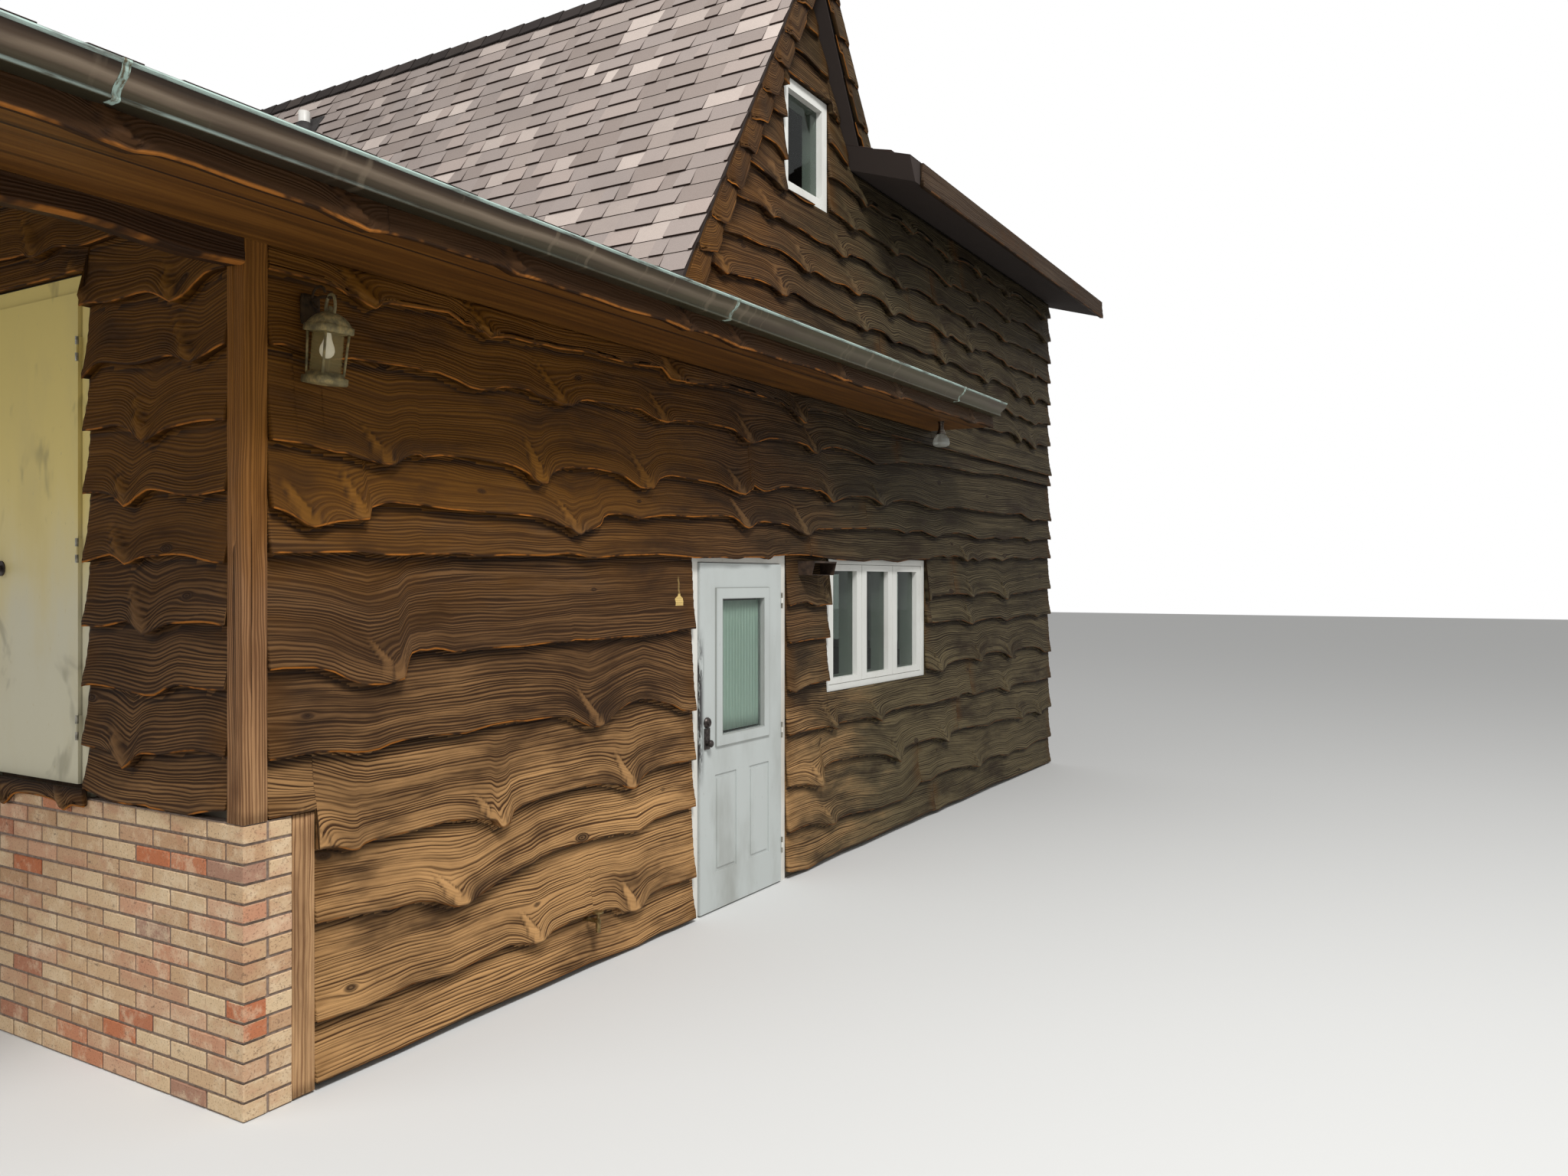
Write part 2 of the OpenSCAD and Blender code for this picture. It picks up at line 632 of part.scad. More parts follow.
low_levels = [20, 270, 520, 780, 1050, 1320, 1580, 1830, 2080, 2330, 2590, 2860, soffit_z - lap - 15];
high_gauge = 230;
high_levels = concat([3340, 3560, 3790, 4020, 4250, 4480, 4710, 4940, 5170, 5400, 5630, 5860],
    [for (z = [5860 + high_gauge:high_gauge:steep_z - steep_tv - lap]) z]);
upper_levels = concat([for (i = [0:3]) edge_level(upper_edges[i])], [soffit_z - lap - 15], high_levels);
left_levels = concat(edge_levels(left_edges), [upper_levels[0]]);
right_levels = concat(edge_levels(right_edges), [upper_levels[0]]);
left_leans = leans(left_levels, edge_reaches(left_edges));
right_leans = leans(right_levels, edge_reaches(right_edges));
side_gap = 2;
// The pent roof's surface where the boards stand on it
pent_top_z = low_eave_z + (skin_t + low_over) * low_tan + 8;

// What the boards of a long wall cover, less the openings given as children
module front_region() {
    difference() {
        union() {
            rect(brick_return + trim_w + side_gap, house_l, 0, brick_h + 20);
            rect(post_w + side_gap, house_l, brick_h + 4, soffit_z);
            rect(pent_end + side_gap, house_l, soffit_z - 1, lake_under_z);
            difference() {
                polygon([
                    [steep_at(pent_top_z) + steep_th + 10, pent_top_z],
                    [steep_x, steep_z - steep_tv - 12],
                    [2 * steep_x - steep_at(lake_under_z) - steep_th - 10, lake_under_z],
                    [house_l, lake_under_z],
                    [house_l, pent_top_z]
                ]);
                gable_window_hole(side_gap);
            }
        }
        children();
    }
}

lake_under_z = lake_eave_z + lake_over * lake_tan - lake_tv - 10;

// The upper boards hang a little in front of the heads of the entry door and the triple window
entry_top = entry_foot + entry_h + 9;
window_top = window_z + window_h - 48;

module front_openings(door_z, pane_top_z) {
    rect(entry_x - frame_w - side_gap, entry_x + entry_w + frame_w + side_gap, -100, door_z);
    rect(window_x - side_gap, window_x + window_w + side_gap, window_z - side_gap, pane_top_z);
    rect(lantern_x - 60, lantern_x + 60, lantern_z - 140, lantern_z + 64);
    rect(hood_x - side_gap, hood_x + hood_w + side_gap, hood_z - 4, hood_z + hood_h + 4);
    rect(tap_x - 25, tap_x + 25, tap_z - 25, tap_z + 25);
}

module siding_front() {
    color(timber) place() {
        lapped_boards(post_w, entry_x - frame_w - side_gap, left_levels, 11, left_edges)
            front_region() front_openings(far, far);
        lapped_boards(entry_x + entry_w + frame_w + side_gap, house_l, right_levels, 11, right_edges)
            front_region() front_openings(far, window_z + window_h + side_gap);
        lapped_boards(post_w, house_l, upper_levels, 11, upper_edges,
            [left_leans[len(left_leans) - 1], right_leans[len(right_leans) - 1]], false)
            front_region() front_openings(entry_top, window_top);
    }
}

module siding_back() {
    color(timber) place() at_back() lapped_boards(post_w, house_l, concat(low_levels, high_levels), 57)
        front_region() {
            for (x = back_windows)
                rect(x - side_gap, x + window_w + side_gap, window_z - side_gap, window_z + window_h + side_gap);
        }
}

// Turns a wall drawn along X at Y 0 into the lake wall, which faces +X
module on_lake() {
    translate([house_l, 0, 0]) rotate([0, 0, 90]) children();
}

// Turns a wall drawn along X at Y 0 into the porch wall, which faces -X
module on_porch() {
    translate([0, house_w, 0]) rotate([0, 0, -90]) children();
}

module siding_lake() {
    color(timber) place() on_lake()
        lapped_boards(skin_t, house_w - skin_t, concat(low_levels, high_levels), 103)
            difference() {
                polygon([
                    [skin_t, 0], [house_w - skin_t, 0],
                    [house_w - skin_t, lake_plate_z - 12],
                    [mid_y, lake_ridge_z - lake_tv - 12],
                    [skin_t, lake_plate_z - 12]
                ]);
                for (z = lake_rows) for (u = lake_places)
                    rect(house_w * u - side_gap, house_w * u + window_w + side_gap,
                        z - side_gap, z + window_h + side_gap);
            }
}

porch_levels = [brick_h + 20, 1290, 1530, 1770, 2020, 2270, 2530, 2790, 3050, 3300, 3560, 3820, 4080];

module siding_porch() {
    color(timber) place() on_porch()
        lapped_boards(post_w, house_w - post_w, porch_levels, 151, [], [], false)
            difference() {
                polygon([
                    [post_w + side_gap, brick_h + 4], [house_w - post_w - side_gap, brick_h + 4],
                    [house_w - post_w - side_gap, low_under(post_w) - 12],
                    [mid_y, low_under(mid_y) - 12],
                    [post_w + side_gap, low_under(post_w) - 12]
                ]);
                rect(house_w - store_y - store_w - frame_w - side_gap, house_w - store_y + frame_w + side_gap,
                    0, store_foot_z + store_h + frame_w + side_gap);
                rect(mid_y - beam_t / 2 - side_gap, mid_y + beam_t / 2 + side_gap, ridge_beam_z - side_gap, far);
            }
}

// Roofs

// The low roof's section: a thin nose over the gutter, full thickness from the fascia's back on
module low_section(y1) {
    z1 = low_eave_z + (y1 + low_over) * low_tan;
    z0 = low_eave_z + (low_over - fascia_y) * low_tan;
    polygon([
        [-low_over, low_eave_z], [y1, z1], [y1, z1 - low_tv],
        [-fascia_y, z0 - low_tv], [-fascia_y, z0 - nose_t], [-low_over, low_eave_z - nose_t]
    ]);
}

// What lies to the right of the steep roof's outer line
module right_of_steep(shift) {
    along_y(-far / 2, far) polygon([
        [steep_at(0) + shift, 0], [steep_at(far) + shift, far], [far, far], [far, 0]
    ]);
}

module low_roof_solid() {
    difference() {
        along_x(porch_x - porch_over, steep_x) low_section(mid_y);
        right_of_steep(-seat_gap);
    }
}

module low_roof_front() {
    color(shingle) place() low_roof_solid();
}

module low_roof_back() {
    color(shingle) place() at_back() low_roof_solid();
}

module pent_roofs() {
    color(shingle) place() front_and_back() intersection() {
        along_x(0, pent_end) low_section(skin_t);
        right_of_steep(0);
    }
}

module steep_section(bottom) {
    polygon([
        [steep_at(bottom), bottom], [steep_x, steep_z],
        [steep_x, steep_z - steep_tv], [steep_at(bottom) + steep_th, bottom]
    ]);
}

module steep_roof_left() {
    color(shingle) place() {
        along_y(in_w, house_w - in_w) steep_section(upper_floor_z);
        along_y(-rake_over, house_w + rake_over) steep_section(foot_z);
    }
}

// What lies under the lake roof's surface, front and back
module under_lake_roof() {
    along_x(steep_x - 100, far) polygon([
        [-low_over * 4, 0], [-low_over * 4, lake_eave_z - (low_over * 4 - lake_over) * lake_tan],
        [mid_y, lake_ridge_z],
        [house_w + low_over * 4, lake_eave_z - (low_over * 4 - lake_over) * lake_tan],
        [house_w + low_over * 4, 0]
    ]);
}

module steep_roof_right() {
    color(shingle) place() difference() {
        translate([2 * steep_x, 0, 0]) mirror([1, 0, 0])
            along_y(-rake_over, house_w + rake_over) steep_section(upper_floor_z);
        under_lake_roof();
    }
}

module lake_roof_solid() {
    difference() {
        along_x(steep_x, house_l + lake_rake) polygon([
            [-lake_over, lake_eave_z], [mid_y, lake_ridge_z],
            [mid_y, lake_ridge_z - lake_tv], [-lake_over, lake_eave_z - lake_tv]
        ]);
        translate([2 * steep_x, 0, 0]) mirror([1, 0, 0]) right_of_steep(steep_th);
    }
}

module lake_roof_front() {
    color(shingle) place() lake_roof_solid();
}

module lake_roof_back() {
    color(shingle) place() at_back() lake_roof_solid();
}

// A bent cap over a ridge: half_w is its reach down each slope, measured level
module cap_section(mid, top, half_w, slope, thick) {
    polygon([
        [mid - half_w, top - half_w * slope], [mid, top], [mid + half_w, top - half_w * slope],
        [mid + half_w, top - half_w * slope + thick], [mid, top + thick], [mid - half_w, top - half_w * slope + thick]
    ]);
}

module ridge_caps() {
    color("#6d6258") place() {
        difference() {
            along_x(porch_x - porch_over, steep_x) cap_section(mid_y, low_ridge_z + cap_lift, 150, low_tan, 14);
            right_of_steep(-cap_lift);
        }
        along_y(-rake_over, house_w + rake_over)
            cap_section(steep_x, steep_z + cap_lift, 75, tan(steep_deg), 30);
        difference() {
            along_x(steep_x, house_l + lake_rake) cap_section(mid_y, lake_ridge_z + cap_lift, 150, lake_tan, 14);
            translate([2 * steep_x, 0, 0]) mirror([1, 0, 0]) right_of_steep(-cap_lift);
        }
    }
}

// Eaves

module soffits() {
    color(timber) place() front_and_back()
        block(porch_x - porch_over, pent_end, -fascia_y, 0, soffit_z, soffit_z + eave_board_t);
}

fascia_y = low_over - 55;

module live_fascia(x0, x1, bottom, top, seed) {
    n = ceil((x1 - x0) / 90);
    drops = lobes(x1 - x0, seed);
    polygon(concat(
        [for (i = [0:n]) let (x = (x1 - x0) * i / n)
            [x0 + x, bottom + 0.5 * swell_d + 0.35 * live_edge(x, drops, seed)]],
        [[x1, top], [x0, top]]
    ));
}

module fascias() {
    color(timber) place() front_and_back() {
        along_y(-fascia_y - eave_board_t, -fascia_y)
            live_fascia(porch_x - porch_over, pent_end, soffit_z - fascia_drop, fascia_top, 7);
        along_y(-lake_over - eave_board_t, -lake_over)
            rect(lake_fascia_x, house_l + lake_rake, lake_eave_z - lake_tv - 20, lake_eave_z - 4);
    }
}

lake_fascia_x = 2 * steep_x - steep_at(lake_eave_z);
fascia_top = low_eave_z + (low_over - fascia_y - eave_board_t) * low_tan - nose_t;

// Ogee gutter profile, drawn as depth out from the fascia and height from its bottom
function gutter_face(inset) =
    let (n = 10)
    [for (i = [0:n]) let (u = i / n) [
        0.55 * gutter_w - inset + 0.45 * gutter_w * (u - 0.11 * sin(360 * u)),
        inset * (1 - u) + (gutter_h - 14) * u
    ]];

module gutter_outer() {
    polygon(concat([[0, gutter_back_h], [0, 0]], gutter_face(0),
        [[gutter_w + 5, gutter_h - 7], [gutter_w, gutter_h], [gutter_w - gutter_t, gutter_h]]));
}

module gutter_inner() {
    polygon(concat([[gutter_t, gutter_h + 1], [gutter_t, gutter_t]], gutter_face(gutter_t),
        [[gutter_w - gutter_t, gutter_h + 1]]));
}

gutter_top = low_eave_z - 20;
gutter_z = gutter_top - gutter_h;
gutter_back_h = low_eave_z - nose_t - 5 - gutter_z;

module gutter_run(x0, x1) {
    translate([0, -fascia_y - eave_board_t, gutter_z]) mirror([0, 1, 0]) difference() {
        along_x(x0, x1) gutter_outer();
        along_x(x0 + gutter_t, x1 - gutter_t) gutter_inner();
    }
}

module gutters() {
    color(copper) place() front_and_back() gutter_run(porch_x - porch_over, pent_end);
}

// Vent pipe on the steep roof
vent_x = 3870;
vent_y = 4800;
vent_r = 45;
vent_h = 420;

module vent_pipe() {
    color("#e8e6e0") place() difference() {
        translate([vent_x, vent_y, 0]) union() {
            translate([0, 0, steep_z - 900]) cylinder(r = vent_r, h = vent_h + 400);
            translate([0, 0, steep_z - 900]) cylinder(r = vent_r + 22, h = 420);
        }
        right_of_steep(-cap_lift);
    }
}

// Doors, drawn from outside: X to the right, Z up, Y inward, the slab's foot corner at the origin

module door_frame(w, h, foot, stop_foot) {
    g = door_gap;
    lip = slab_y + slab_t + g;
    along_y(frame_y, in_w) difference() {
        rect(-frame_w, w + frame_w, foot, h + frame_w);
        rect(-g, w + g, foot - 1, h + g);
    }
    along_y(lip, lip + 35) difference() {
        rect(-g - 1, w + g + 1, stop_foot, h + g + 1);
        rect(-g + 20, w + g - 20, foot - 1, h + g - 20);
    }
}

// Butt hinge: the door's leaf carries the outer knuckles and the pin, the frame's leaf the middle knuckle
hinge_h = 100;
knuckle = hinge_h / 3;
leaf_t = 2;
bore_r = 2.8;
pin_r = 2.5;
barrel_r = 6;
hinge_out = 6;

module at_hinge(w) {
    translate([w + door_gap / 2, slab_y - hinge_out, 0]) children();
}

module door_hinges(w, places) {
    reach = hinge_out + 32;
    for (z = places) translate([0, 0, z]) {
        at_hinge(w) {
            cylinder(r = barrel_r, h = knuckle - seat_gap);
            translate([0, 0, 2 * knuckle + seat_gap]) cylinder(r = barrel_r, h = knuckle - seat_gap);
            cylinder(r = pin_r, h = hinge_h);
            block(-door_gap / 2, leaf_t - door_gap / 2, 0, reach, 0, knuckle - seat_gap);
            block(-door_gap / 2, leaf_t - door_gap / 2, 0, reach, 2 * knuckle + seat_gap, hinge_h);
            block(-door_gap / 2, leaf_t - door_gap / 2, barrel_r + 1, reach, 0, hinge_h);
        }
    }
}

module frame_hinges(w, places) {
    reach = hinge_out + 32;
    for (z = places) translate([0, 0, z]) at_hinge(w) {
        difference() {
            union() {
                translate([0, 0, knuckle]) cylinder(r = barrel_r, h = knuckle);
                block(door_gap / 2 - leaf_t, door_gap / 2, 0, reach, knuckle, 2 * knuckle);
            }
            cylinder(r = bore_r, h = hinge_h);
        }
        block(door_gap / 2 - leaf_t, door_gap / 2, barrel_r + 1, reach, 0, hinge_h);
    }
}

module at_entry() {
    translate([entry_x, 0, entry_foot]) children();
}

// The store door stands on the porch wall, which faces -X
module at_store() {
    translate([0, store_y + store_w, store_foot_z]) rotate([0, 0, -90]) children();
}

lite_w = 470;
lite_h = 800;
lite_z = 1020;
lite_face = 66;
lite_out = 10;

module lite_hole(grow) {
    rect(entry_w / 2 - lite_w / 2 - grow, entry_w / 2 + lite_w / 2 + grow, lite_z - grow, lite_z + lite_h + grow);
}

panel_w = 230;
panel_h = 570;
panel_z = 220;
panel_split = 145;

module panel_rings() {
    for (s = [-1, 1]) translate([entry_w / 2 + s * (panel_w + panel_split) / 2, panel_z + panel_h / 2])
        difference() {
            square([panel_w, panel_h], center = true);
            square([panel_w - 44, panel_h - 44], center = true);
        }
}

module entry_frame() {
    color(painted) place() at_entry() {
        door_frame(entry_w, entry_h, -entry_foot, ground_h - entry_foot);
        frame_hinges(entry_w, entry_hinge_z);
    }
}

module entry_door() {
    color(painted) place() at_entry() {
        difference() {
            along_y(slab_y, slab_y + slab_t) difference() {
                rect(0, entry_w, 0, entry_h);
                lite_hole(20);
            }
            along_y(slab_y - 1, slab_y + 6) panel_rings();
        }
        for (y = [slab_y - lite_out, slab_y + slab_t]) along_y(y, y + lite_out) difference() {
            lite_hole(lite_face);
            lite_hole(0);
        }
        along_y(slab_y, slab_y + slab_t) difference() {
            lite_hole(20);
            lite_hole(0);
        }
    }
}

module entry_glass() {
    color("#9fb4b2") place() at_entry() along_y(slab_y + slab_t / 2 - glass_t / 2, slab_y + slab_t / 2 + glass_t / 2)
        lite_hole(-0.3);
}

entry_hinge_z = [180, 920, 1750];
store_hinge_z = [180, 900, 1720];

module entry_hinges() {
    color("#c9c7bf") place() at_entry() door_hinges(entry_w, entry_hinge_z);
}

module turned(profile) {
    rotate([90, 0, 0]) rotate_extrude() polygon(profile);
}

handle_z = 1105;
plate_w = 54;
plate_down = 33;
plate_h = 122;
knob_down = 120;

module entry_handle() {
    color("#4a443c") place() at_entry() translate([66, slab_y - seat_gap, handle_z]) {
        turned([[0, 0], [31, 0], [31, 8], [27, 15], [17, 18], [15, 24], [0, 24]]);
        along_y(-6, 0) rect(-plate_w / 2, plate_w / 2, -plate_down - plate_h, -plate_down);
        translate([0, -5, -knob_down]) turned([[0, 0], [14, 0], [12, 12], [21, 20], [21, 30], [16, 35], [0, 37]]);
    }
}

module store_frame() {
    color("#d8cfa8") place() at_store() {
        door_frame(store_w, store_h, -(store_foot_z - brick_h), store_floor_z - store_foot_z);
        frame_hinges(store_w, store_hinge_z);
    }
}

module store_door() {
    color("#d8cfa8") place() at_store() along_y(slab_y, slab_y + slab_t) rect(0, store_w, 0, store_h);
}

module store_hinges() {
    color("#c9c7bf") place() at_store() door_hinges(store_w, store_hinge_z);
}

module store_knob() {
    color("#4a443c") place() at_store() translate([60, slab_y - 0.3, 880])
        turned([[0, 0], [33, 0], [33, 5], [16, 10], [13, 30], [26, 42], [28, 54], [20, 64], [0, 66]]);
}

// Windows, drawn from outside with the frame's foot corner at the origin

function pane_at(i) = (window_w - 3 * pane_w - 2 * mullion_w) / 2 + i * (pane_w + mullion_w);
pane_z = 88;
pane_h = 753;

module panes(grow) {
    for (i = [0:2]) rect(pane_at(i) - grow, pane_at(i) + pane_w + grow, pane_z - grow, pane_z + pane_h + grow);
}

module triple_frame() {
    along_y(window_frame_y, window_frame_y + 22) difference() {
        rect(0, window_w, 0, window_h);
        rect(48, window_w - 48, 42, window_h - 46);
    }
    along_y(window_frame_y + 22, in_w) difference() {
        rect(0, window_w, 0, window_h);
        panes(0);
    }
    along_y(window_frame_y + 8, window_frame_y + 22) difference() {
        rect(52, window_w - 52, 46, window_h - 50);
        panes(0);
        for (i = [0, 1]) rect(pane_at(i) + pane_w + mullion_w / 2 - 4, pane_at(i) + pane_w + mullion_w / 2 + 4, 0, window_h);
    }
}

module triple_glass() {
    along_y(window_frame_y + 45, window_frame_y + 45 + glass_t) panes(-0.3);
}

module gable_frame() {
    w = gable_window_w;
    h = gable_window_h;
    along_y(window_frame_y, in_w) difference() {
        rect(0, w, 0, h);
        rect(70, w - 70, 70, h - 70);
    }
}

module gable_glass() {
    along_y(window_frame_y + 45, window_frame_y + 45 + glass_t)
        rect(70.3, gable_window_w - 70.3, 70.3, gable_window_h - 70.3);
}

module at_gable() {
    translate([steep_x - gable_window_w / 2, 0, gable_window_z]) children();
}

module front_window_frames() {
    color(painted) place() {
        translate([window_x, 0, window_z]) triple_frame();
        at_gable() gable_frame();
    }
}

module front_window_glass() {
    color("#5d6a70") place() {
        translate([window_x, 0, window_z]) triple_glass();
        at_gable() gable_glass();
    }
}

module back_window_frames() {
    color(painted) place() at_back() {
        for (x = back_windows) translate([x, 0, window_z]) triple_frame();
        at_gable() gable_frame();
    }
}

module back_window_glass() {
    color("#5d6a70") place() at_back() {
        for (x = back_windows) translate([x, 0, window_z]) triple_glass();
        at_gable() gable_glass();
    }
}

module lake_window_frames() {
    color(painted) place() on_lake() for (z = lake_rows) for (u = lake_places)
        translate([house_w * u, 0, z]) triple_frame();
}

module lake_window_glass() {
    color("#5d6a70") place() on_lake() for (z = lake_rows) for (u = lake_places)
        translate([house_w * u, 0, z]) triple_glass();
}

// Fittings

lantern_x = 270;
lantern_z = 2960;
lantern_out = 125;
lantern_lean = 7;
lantern_head = 132;
lantern_foot = 124;
lantern_body_h = 150;
lantern_post = 9;

// The lantern hangs under its arm and leans: its foot has swung toward the wall
module at_lantern() {
    translate([lantern_x, 0, lantern_z]) children();
}

module hanging() {
    translate([0, -lantern_out, 0]) rotate([lantern_lean, 0, 0]) children();
}

module square_plate(side, z0, h) {
    translate([-side / 2, -side / 2, z0]) cube([side, side, h]);
}

head_z = -60;
body_z = head_z - 36 - lantern_body_h;

module wall_lantern() {
    color("#6b7068") place() at_lantern() {
        block(-40, 40, -12, skin_t, -60, 60);
        translate([0, -10, 30]) rotate([90, 0, 0]) cylinder(r = 7, h = lantern_out - 10);
        hanging() {
            translate([0, 0, head_z - 2]) cylinder(r = 9, h = 100);
            translate([0, 0, head_z - 22]) cylinder(r1 = 62, r2 = 10, h = 40);
            square_plate(lantern_head, head_z - 36, 28);
            square_plate(lantern_foot, body_z - 40, 28);
            square_plate(lantern_foot - 24, body_z - 14, 14);
            for (a = [0:90:270]) rotate([0, 0, a])
                translate([lantern_foot / 2 - 20, lantern_foot / 2 - 20, body_z - 1])
                    cube([lantern_post, lantern_post, lantern_body_h + 2]);
        }
    }
}

module lantern_glass() {
    color("#e6dcc0") place() at_lantern() hanging() difference() {
        square_plate(lantern_foot - 44, body_z + seat_gap, lantern_body_h - 2 * seat_gap);
        square_plate(lantern_foot - 50, body_z - 1, lantern_body_h + 2);
    }
}

lamp_x = 5700;
lamp_out = 300;

module soffit_lamp() {
    color("#8d8a84") place() translate([lamp_x, -lamp_out, soffit_z - seat_gap]) rotate_extrude() polygon([
        [0, 0], [24, 0], [24, -12], [20, -14], [20, -58], [26, -62], [26, -80], [35, -84], [35, -94],
        [30, -98], [46, -112], [60, -138], [66, -166], [60, -186], [40, -195], [0, -195]
    ]);
}

hood_x = 4024;
hood_w = 306;
hood_z = 1974;
hood_h = 92;
hood_out = 113;
hood_slant = 24;
hood_t = 3;
hood_lip = 20;

// Folded hood with a leaning mouth, drawn as Y and Z
module vent_hood() {
    color("#4a372b") place() translate([hood_x, 0, hood_z]) difference() {
        along_x(0, hood_w) polygon([
            [skin_t, 0], [hood_slant - hood_out, 0], [-hood_out, hood_h], [skin_t, hood_h]
        ]);
        along_x(hood_t, hood_w - hood_t) polygon([
            [skin_t - 30, hood_t], [-hood_out - 1, hood_t],
            [-hood_out - 1, hood_h - hood_lip], [hood_t - hood_out, hood_h - hood_lip],
            [hood_t - hood_out, hood_h - hood_t], [skin_t - 30, hood_h - hood_t]
        ]);
    }
}

tap_x = 1890;
tap_z = 250;

module hose_tap() {
    color("#9a8f7a") place() translate([tap_x, 0, tap_z]) {
        rotate([-90, 0, 0]) translate([0, 0, -70]) cylinder(r = 11, h = skin_t + 70);
        translate([0, -60, -55]) cylinder(r = 12, h = 60);
        translate([0, -60, 0]) cylinder(r = 7, h = 45);
        translate([0, -60, 40]) cylinder(r = 26, h = 8);
    }
}

ground_floor();
store_floor();
upper_floor();
brick_base();
corner_posts();
front_wall_left();
front_wall_over_door();
front_wall_right();
front_upper_wall();
back_wall();
back_upper_wall();
lake_wall();
porch_wall_front();
porch_wall_over_door();
porch_wall_back();
siding_front();
siding_back();
siding_lake();
siding_porch();
low_roof_front();
low_roof_back();
steep_roof_left();
steep_roof_right();
lake_roof_front();
lake_roof_back();
pent_roofs();
ridge_caps();
soffits();
fascias();
gutters();
porch_posts();
porch_beams();
ridge_beam();
vent_pipe();
entry_frame();
entry_door();
entry_glass();
entry_hinges();
entry_handle();
store_frame();
store_door();
store_hinges();
store_knob();
front_window_frames();
front_window_glass();
back_window_frames();
back_window_glass();
lake_window_frames();
lake_window_glass();
wall_lantern();
lantern_glass();
soffit_lamp();
vent_hood();
hose_tap();
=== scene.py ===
# %% [markdown]
# # A lakeside timber cabin, dressed
# The frame gives every solid of the cabin in metres, already in place. This lesson adds what the solids
# leave out: live-edge boards with grain and knots, bricks, shingles, glass, lamps and all finishes.
# The frame comes first, because every piece takes its place from it.

import bpy
import math
import numpy as np
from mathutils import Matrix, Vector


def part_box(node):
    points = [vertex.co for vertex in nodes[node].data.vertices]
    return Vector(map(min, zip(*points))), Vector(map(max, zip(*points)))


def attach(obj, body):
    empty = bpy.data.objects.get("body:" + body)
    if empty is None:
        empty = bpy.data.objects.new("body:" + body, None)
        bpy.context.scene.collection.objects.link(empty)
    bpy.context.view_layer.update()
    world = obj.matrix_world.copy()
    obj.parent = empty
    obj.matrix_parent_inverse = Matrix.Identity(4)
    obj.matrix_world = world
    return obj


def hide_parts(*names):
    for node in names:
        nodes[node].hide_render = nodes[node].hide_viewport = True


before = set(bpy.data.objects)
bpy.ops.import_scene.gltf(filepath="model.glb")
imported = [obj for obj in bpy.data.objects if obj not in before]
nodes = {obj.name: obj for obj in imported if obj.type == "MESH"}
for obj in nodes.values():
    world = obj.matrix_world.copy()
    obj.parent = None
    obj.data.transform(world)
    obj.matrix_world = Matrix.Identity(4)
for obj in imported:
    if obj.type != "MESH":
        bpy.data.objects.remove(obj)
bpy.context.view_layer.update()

# %% [markdown]
# ## Camera
# The photograph was taken by someone standing on the path, level, looking along the front wall. A level
# camera keeps the posts upright; the small shift moves the horizon to where the picture has it.

# %% Camera
eye = (-7.26, -7.39, 1.945)
look_from_x = math.radians(30.4)
focal_px, photo_w, horizon_shift = 1500, 2048, -0.0054

camera = bpy.data.objects.new("camera", bpy.data.cameras.new("camera"))
bpy.context.scene.collection.objects.link(camera)
camera.location = eye
camera.rotation_euler = (math.pi / 2, 0, look_from_x - math.pi / 2)
camera.data.sensor_width = 36
camera.data.lens = focal_px / photo_w * camera.data.sensor_width
camera.data.shift_y = horizon_shift
bpy.context.scene.camera = camera
print("lens", round(camera.data.lens, 2))

# %% [markdown]
# ## Helpers for materials
# A finish is a small network of nodes. A `Wire` stands for a node's output and can be reckoned with, so a
# formula reads as it would on paper: each operator adds one Math node. The nodes could be named and linked
# one by one, but then a finish would fill pages. Colours are given as they are seen on screen, 0 to 255.

# %% Wires and nodes
in_hand = {}


class Wire:
    """A node's output. wire[name] is another output of the same node."""

    def __init__(self, socket):
        self.socket = socket

    def __getitem__(self, key):
        return Wire(self.socket.node.outputs[key])

    def __abs__(self):
        return calc("ABSOLUTE", self)


signs = {"add": "ADD", "sub": "SUBTRACT", "mul": "MULTIPLY", "truediv": "DIVIDE", "pow": "POWER"}
for sign, operation in signs.items():
    setattr(Wire, f"__{sign}__", lambda a, b, operation=operation: calc(operation, a, b))
    setattr(Wire, f"__r{sign}__", lambda a, b, operation=operation: calc(operation, b, a))


def srgb(r, g, b):
    """Linear colour of an 8-bit screen colour: the sRGB curve, undone channel by channel."""
    c = np.array([r, g, b]) / 255
    linear = np.where(c <= 0.04045, c / 12.92, ((c + 0.055) / 1.055) ** 2.4)
    return (*linear.tolist(), 1.0)


def plug(socket, value):
    """Joins a wire to a socket, or sets the socket to a colour or a number."""
    if isinstance(value, Wire):
        socket.id_data.links.new(value.socket, socket)
    else:
        socket.default_value = srgb(*value) if socket.type == "RGBA" else value


def add(kind, inputs=(), out=0, **settings):
    """One node in the tree in hand. inputs maps a socket's name or number to a value or a wire."""
    made = in_hand["tree"].nodes.new("ShaderNode" + kind)
    for key, value in settings.items():
        setattr(made, key, value)
    for key, value in dict(inputs).items():
        plug(made.inputs[key], value)
    return Wire(made.outputs[out]) if made.outputs else None


def calc(operation, *values):
    """One step of arithmetic."""
    return add("Math", dict(enumerate(values)), operation=operation)


print("wires know", sorted(signs))

# %% [markdown]
# ## Helpers for patterns
# Weathered surfaces are clouds, streaks and specks laid over one another. Each is a noise, stretched to the
# direction of the grain or of the rain, cut off softly by a step, and used to mix in one more colour. That
# order of coats is how the real thing came about too: paint or stain first, then wear, then dirt.

# %% Patterns and colours
def parts_of(vector):
    """The x, y and z of a vector."""
    split = add("SeparateXYZ", {0: vector})
    return split[0], split[1], split[2]


def own_place():
    """The object's own coordinates, in metres."""
    return add("TexCoord", out="Object")


def attribute(name):
    return add("Attribute", out="Fac", attribute_name=name)


